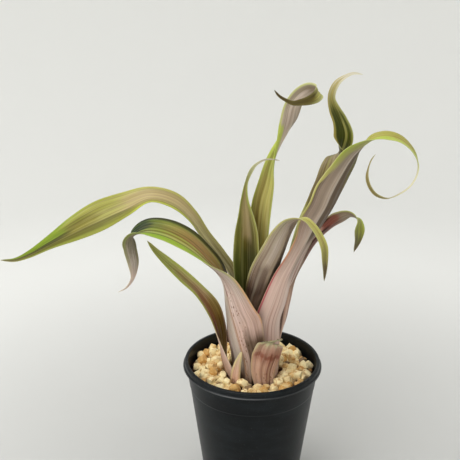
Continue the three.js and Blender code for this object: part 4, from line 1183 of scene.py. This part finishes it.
def turning_group():
    """Turns a profile of points (radius, 0, height) round Z, and drills a ring of holes through it."""
    group, given = new_group("Turned and drilled wall", {
        "Sides": 96, "Holes": 8, "Hole Radius": 0.003, "Hole Ring": 0.02})
    profile = given["Geometry"]
    rows = add_node(group, "GeometryNodeAttributeDomainSize", {0: profile}).outputs["Point Count"]
    seam = plus(group, given["Sides"], 1.0)
    grid = made(group, "GeometryNodeMeshGrid", {"Vertices X": rows, "Vertices Y": seam})
    index = made(group, "GeometryNodeInputIndex")
    line = math_node(group, "FLOOR", math_node(group, "DIVIDE", plus(group, index, 0.5), seam))
    turn = math_node(group, "SUBTRACT", index, times(group, line, seam))
    angle = times(group, math_node(group, "DIVIDE", turn, given["Sides"]), TURN)
    place = made(group, "GeometryNodeInputPosition")
    sample = made(group, "GeometryNodeSampleIndex", {"Geometry": profile, "Value": place, "Index": line},
                  data_type="FLOAT_VECTOR", domain="POINT")
    turned = made(group, "ShaderNodeVectorRotate", {"Vector": sample, "Angle": angle}, rotation_type="Z_AXIS")
    moved = made(group, "GeometryNodeSetPosition", {"Geometry": grid, "Position": turned})
    closed = made(group, "GeometryNodeMergeByDistance", {0: moved, "Distance": 1e-6})
    closed = made(group, "GeometryNodeFlipFaces", {0: closed})

    circle = made(group, "GeometryNodeMeshCircle", {"Vertices": given["Holes"], "Radius": given["Hole Ring"]})
    drill = made(group, "GeometryNodeMeshCylinder",
                 {"Vertices": 32, "Radius": given["Hole Radius"], "Depth": 0.02})
    drills = made(group, "GeometryNodeInstanceOnPoints", {"Points": circle, "Instance": drill})
    drills = made(group, "GeometryNodeRealizeInstances", {0: drills})
    cut = made(group, "GeometryNodeMeshBoolean", {"Mesh 1": closed, "Mesh 2": drills},
               operation="DIFFERENCE", solver="EXACT")
    return end_group(group, given, cut)


def grain_group():
    """Puts a worn block on every point, turned and sized by the point, and roughens it."""
    group, given = new_group("Gravel grains", {"Roughness": 0.0006, "Wear": 0.6})
    cube = made(group, "GeometryNodeMeshCube",
                {"Size": (1, 1, 1), "Vertices X": 4, "Vertices Y": 4, "Vertices Z": 4})
    place = made(group, "GeometryNodeInputPosition")
    ball = vector_node(group, "SCALE", vector_node(group, "NORMALIZE", place), WORN_RADIUS)
    worn = add_node(group, "ShaderNodeMix", {0: given["Wear"], 4: place, 5: ball}, data_type="VECTOR")
    block = made(group, "GeometryNodeSetPosition", {"Geometry": cube, "Position": worn.outputs[1]})
    turn, size, tint = (made(group, "GeometryNodeInputNamedAttribute", {0: key}, data_type=kind)
                        for key, kind in GRAIN_ATTRIBUTES.items())
    rotation = made(group, "FunctionNodeEulerToRotation", {0: turn})
    grains = made(group, "GeometryNodeInstanceOnPoints",
                  {"Points": given["Geometry"], "Instance": block, "Rotation": rotation, "Scale": size})
    grains = made(group, "GeometryNodeRealizeInstances", {0: grains})
    swirl = {"Vector": place, "W": times(group, tint, TINT_SPREAD), "Scale": SWIRLS, "Detail": 1.0}
    swirl = add_node(group, "ShaderNodeTexNoise", swirl, noise_dimensions="4D").outputs[1]
    push = vector_node(group, "ADD", swirl, (-0.5, -0.5, -0.5))
    push = vector_node(group, "SCALE", push, times(group, given["Roughness"], 4.0))
    rough = made(group, "GeometryNodeSetPosition", {"Geometry": grains, "Offset": push})
    return end_group(group, given, made(group, "GeometryNodeSetShadeSmooth", {0: rough}))


def profile_mesh(points):
    """A line of points (radius, height) as a mesh, for turning."""
    mesh = bpy.data.meshes.new("profile")
    edges = [(i, i + 1) for i in range(len(points) - 1)]
    mesh.from_pydata([(r, 0, z) for r, z in points], edges, [])
    return mesh


def rounded(corners):
    """The corners (radius, height, rounding) as points, each corner with a rounding as a short arc."""
    points = []
    for i, (r, z, size) in enumerate(corners):
        here = Vector((r, z))
        if size == 0:
            points.append((r, z))
            continue
        before = (Vector(corners[i - 1][:2]) - here).normalized() * size
        after = (Vector(corners[i + 1][:2]) - here).normalized() * size
        for step in range(ARC_STEPS + 1):
            t = step / ARC_STEPS
            spot = here + before * (1 - t) ** 2 + after * t ** 2
            points.append((spot.x, spot.y))
    return points


# Pieces

def turned_mesh(name, corners, values):
    """A turned mesh, closed, smooth and facing outwards."""
    mesh = grown(name, profile_mesh(rounded(corners)), turning_group(), values)
    outward(mesh)
    mesh.shade_smooth()
    return mesh


def pot_corners():
    """The pot's wall as corners, from the middle of the underside, over the rim, to the floor inside."""
    pot = settings().pot
    collar_depth = 16 * MM
    proud = 0.4 * MM
    channel = 1.2 * MM
    floor = channel + 2.2 * MM
    hub = 12 * MM
    lip = pot.rim_radius
    top = lip - 1.9 * MM
    inside = lip - 3.9 * MM
    neck = lip - 2.6 * MM
    rim_low = pot.height - RIM_DEPTH
    collar_low = rim_low - collar_depth
    slope = (neck - pot.base_radius) / rim_low
    body = neck - slope * collar_depth
    foot = pot.base_radius - 5 * MM
    return [
        (0, 0, 0),
        (hub, 0, 0.3 * MM),
        (hub + MM, channel, 0.3 * MM),
        (foot - MM, channel, 0.3 * MM),
        (foot, 0, 0.3 * MM),
        (pot.base_radius - 0.4 * MM, 0, 1.2 * MM),
        (body - proud, collar_low, 0.5 * MM),
        (body, collar_low + 0.8 * MM, 0.5 * MM),
        (neck, rim_low, 0.5 * MM),
        (lip, rim_low, 0.35 * MM),
        (lip, rim_low + 0.6 * MM, 0.2 * MM),
        (lip - 1.2 * MM, rim_low + 1.3 * MM, 0.3 * MM),
        (top + 0.5 * MM, pot.height, 1.1 * MM),
        (inside, pot.height, 0.8 * MM),
        (pot.base_radius - 1.8 * MM, floor, 2 * MM),
        (0, floor, 0),
    ]


def make_pot():
    """The nursery pot: turned wall, rolled rim, collar and drilled floor."""
    pot = settings().pot
    mesh = turned_mesh("nursery_pot", pot_corners(), {
        "Sides": pot.sides, "Holes": pot.drain_holes, "Hole Radius": HOLE_RADIUS, "Hole Ring": HOLE_RING,
        "Material": moulded_plastic()})
    mesh.set_sharp_from_angle(angle=math.radians(40))
    place_piece(mesh, "pot")


def sector_of(x, y):
    """Which of the equal sectors round the stem's axis a direction falls in."""
    return (np.arctan2(y, x) / TURN % 1 * SECTORS).astype(int)


def plant_reach():
    """How far the sheaths reach from the stem's axis at the gravel, by sector, and their points there."""
    near = []
    for node in (*LEAVES, *DRY_LEAVES):
        mesh = bpy.data.objects[node + "_blade"].data
        points = np.empty(len(mesh.vertices) * 3)
        mesh.vertices.foreach_get("co", points)
        points = points.reshape(-1, 3)
        near.append(points[(points[:, 2] > NEAR_LOW) & (points[:, 2] < NEAR_HIGH)])
    near = np.concatenate(near)
    offset = near[near[:, 2] < NEAR_MIDDLE, :2] - np.array([STEM_X, STEM_Y]) * MM
    sector = sector_of(offset[:, 0], offset[:, 1])
    distance = np.linalg.norm(offset, axis=1)
    reach = [distance[sector == k].max() if (sector == k).any() else LEAST_REACH for k in range(SECTORS)]
    return reach, near[::3]


def grain_places():
    """Where the grains lie, with a turn, a size and a tint for each."""
    gravel = settings().gravel
    generator = random.Random(gravel.seed)
    reach, near = plant_reach()
    wall = GRAVEL_HIGH.x - 0.4 * MM
    grains = []

    def drawn(*ranges):
        return [generator.uniform(low, high) for low, high in ranges]

    for layer, pitch_share in enumerate(LAYER_PITCHES):
        pitch = gravel.grain * pitch_share
        lines = int(wall / pitch * 1.3) + 1
        for line in range(-lines, lines + 1):
            for column in range(-lines, lines + 1):
                stray_x, stray_y, size = drawn(STRAY, STRAY, GRAIN_SIZES)
                x = (column + (line % 2) / 2 + LAYER_SHIFT[0] * layer) * pitch + stray_x * pitch
                y = (line + LAYER_SHIFT[1] * layer) * pitch * LINE_PITCH + stray_y * pitch
                size *= gravel.grain
                turn = drawn(*[(0, TURN)] * 3)
                stretch = drawn(*GRAIN_STRETCH)
                tint = generator.random()
                radius = math.hypot(x, y)
                rise = gravel.mound * (1 - min(radius / wall, 1)) + layer * LAYER_RISE * gravel.grain
                z = gravel.level + rise + generator.uniform(-0.5, 0.5) * MM
                dx, dy = x - STEM_X * MM, y - STEM_Y * MM
                in_wall = radius > wall - size * WALL_GAP
                in_sheaths = math.hypot(dx, dy) < reach[sector_of(dx, dy)] + size * SHEATH_GAP
                if in_wall or in_sheaths:
                    continue
                if np.linalg.norm(near - (x, y, z), axis=1).min() > size * BLADE_GAP:
                    grains.append(((x, y, z), turn, [size * part for part in stretch], tint))
    return grains


def make_gravel():
    """The gravel: grains over a bed of substrate."""
    centres, *values = zip(*grain_places())
    points = bpy.data.meshes.new("grain_points")
    points.from_pydata(centres, [], [])
    for (key, kind), column in zip(GRAIN_ATTRIBUTES.items(), values):
        layer = points.attributes.new(key, kind, "POINT")
        field = "vector" if kind == "FLOAT_VECTOR" else "value"
        layer.data.foreach_set(field, np.array(column, np.float32).ravel())
    mesh = grown("gravel_grains", points, grain_group(), {"Material": gravel_stone()})
    mesh.set_sharp_from_angle(angle=math.radians(50))
    place_piece(mesh, "gravel")

    bed_top = settings().gravel.level - 0.5 * MM
    low = GRAVEL_LOW.z
    foot = settings().pot.base_radius - 2.2 * MM
    rim = foot + (GRAVEL_HIGH.x - 0.3 * MM - foot) * (bed_top - low) / (GRAVEL_EDGE - low)
    corners = [(0, low, 0), (foot, low, 2 * MM), (rim, bed_top, 0.5 * MM), (0, bed_top + MM, 0)]
    # The bed has no holes, so its one drill is tiny and stands far outside
    bed = turned_mesh("substrate_bed", corners, {
        "Sides": 96, "Holes": 1, "Hole Radius": 1e-5, "Hole Ring": 1.0, "Material": substrate_with_gap_shade()})
    place_piece(bed, "gravel")


def make_blades(leaves, first_seed):
    """One blade for each leaf, dressed and tied to its node."""
    for seed, (node, own) in enumerate(leaves.items(), first_seed):
        leaf = {**PLAIN_LEAF, **own}
        mesh = blade_mesh(node + "_blade", leaf, seed)
        mesh.materials.append(leaf_tissue(node.replace("_", " ") + " tissue", leaf, seed))
        place_piece(mesh, node)


def make_stem():
    """The stem keeps its solid and gets its material."""
    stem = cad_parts["stem_base"]
    stem.data.materials.clear()
    stem.data.materials.append(stem_tissue())


def area_light(name, place, target, size, power):
    """A soft square light that looks at a target."""
    data = bpy.data.lights.new(name, "AREA")
    data.shape = "SQUARE"
    data.size = size
    data.energy = power
    light = make_object(name, data)
    light.location = place
    light.visible_camera = False
    light.rotation_euler = (Vector(target) - Vector(place)).to_track_quat("-Z", "Y").to_euler()


def make_stage():
    """A paper floor that rises to a round wall, soft lights and the camera."""
    stage = settings().stage
    flat = stage.floor_radius
    profile = [(0.0, 0.0), (flat * 0.5, 0.0), (flat, 0.0)]
    for step in range(1, COVE_STEPS + 1):
        angle = math.radians(90 * step / COVE_STEPS)
        profile.append((flat + COVE_RADIUS * math.sin(angle), COVE_RADIUS * (1 - math.cos(angle))))
    profile.append((flat + COVE_RADIUS, WALL_HEIGHT))
    sides = FLOOR_SIDES
    angles = [TURN * k / sides for k in range(sides)]
    points = np.array([(r * math.cos(a), r * math.sin(a), z) for r, z in profile for a in angles])
    faces = [(i * sides + k, i * sides + j, (i + 1) * sides + j, (i + 1) * sides + k)
             for i in range(len(profile) - 1) for k in range(sides) for j in [(k + 1) % sides]]
    mesh = mesh_from("paper_floor", points, faces)
    mesh.flip_normals()
    mesh.materials.append(matt_paper())
    make_object("paper_floor", mesh)

    for light in LIGHTS:
        area_light(*light)
    world = bpy.data.worlds.new("studio_air")
    world.use_nodes = True
    air = world.node_tree.nodes["Background"]
    set_inputs(world.node_tree, air, {0: rgba(AIR_COLOUR), 1: AIR_STRENGTH})

    data = bpy.data.cameras.new("camera")
    data.lens = stage.lens
    data.sensor_width = 36
    camera = make_object("camera", data)
    camera.location = stage.camera_place
    camera.rotation_euler = (math.pi / 2 - stage.camera_pitch, 0, 0)
    scene = bpy.context.scene
    scene.world = world
    scene.camera = camera
    scene.view_settings.view_transform = "Standard"


class BROMELIAD_OT_pot(bpy.types.Operator):
    """Make the nursery pot"""
    bl_idname = "bromeliad.make_pot"
    bl_label = "Nursery Pot"

    def execute(self, context):
        make_pot()
        return {"FINISHED"}


class BROMELIAD_OT_leaves(bpy.types.Operator):
    """Make the nine leaves"""
    bl_idname = "bromeliad.make_leaves"
    bl_label = "Leaves"

    def execute(self, context):
        make_blades(LEAVES, LEAF_SEED)
        return {"FINISHED"}


class BROMELIAD_OT_dry_leaves(bpy.types.Operator):
    """Make the dry, torn leaf remains"""
    bl_idname = "bromeliad.make_dry_leaves"
    bl_label = "Dry Leaf Remains"

    def execute(self, context):
        make_blades(DRY_LEAVES, DRY_LEAF_SEED)
        return {"FINISHED"}


class BROMELIAD_OT_stem(bpy.types.Operator):
    """Dress the short stem inside the sheaths"""
    bl_idname = "bromeliad.dress_stem"
    bl_label = "Stem"

    def execute(self, context):
        make_stem()
        return {"FINISHED"}


class BROMELIAD_OT_gravel(bpy.types.Operator):
    """Lay the gravel grains and the bed under them, clear of the leaves"""
    bl_idname = "bromeliad.make_gravel"
    bl_label = "Gravel"

    def execute(self, context):
        make_gravel()
        return {"FINISHED"}


class BROMELIAD_OT_stage(bpy.types.Operator):
    """Set up the floor, the lights and the camera"""
    bl_idname = "bromeliad.make_stage"
    bl_label = "Studio"

    def execute(self, context):
        make_stage()
        return {"FINISHED"}


class BROMELIAD_PT_panel(bpy.types.Panel):
    """Lists the settings and the steps that build the plant"""
    bl_label = "Potted Bromeliad"
    bl_idname = "BROMELIAD_PT_panel"
    bl_space_type = "VIEW_3D"
    bl_region_type = "UI"
    bl_category = "Bromeliad"

    def draw(self, context):
        groups = context.scene.bromeliad
        for group in (groups.pot, groups.gravel, groups.leaf, groups.stage):
            box = self.layout.box()
            for name in group.__annotations__:
                box.prop(group, name)
        for step in STEPS:
            self.layout.operator(step.bl_idname)


STEPS = (
    BROMELIAD_OT_pot, BROMELIAD_OT_leaves, BROMELIAD_OT_dry_leaves, BROMELIAD_OT_stem,
    BROMELIAD_OT_gravel, BROMELIAD_OT_stage,
)
CLASSES = (
    PotSettings, GravelSettings, LeafSettings, StageSettings, BromeliadSettings,
    *STEPS, BROMELIAD_PT_panel,
)


def register():
    for cls in CLASSES:
        bpy.utils.register_class(cls)
    bpy.types.Scene.bromeliad = bpy.props.PointerProperty(type=BromeliadSettings)


def unregister():
    del bpy.types.Scene.bromeliad
    for cls in reversed(CLASSES):
        bpy.utils.unregister_class(cls)


def main():
    register()
    bpy.ops.bromeliad.make_pot()
    bpy.ops.bromeliad.make_leaves()
    bpy.ops.bromeliad.make_dry_leaves()
    bpy.ops.bromeliad.dress_stem()
    bpy.ops.bromeliad.make_gravel()
    bpy.ops.bromeliad.make_stage()


if __name__ == "__main__":
    main()
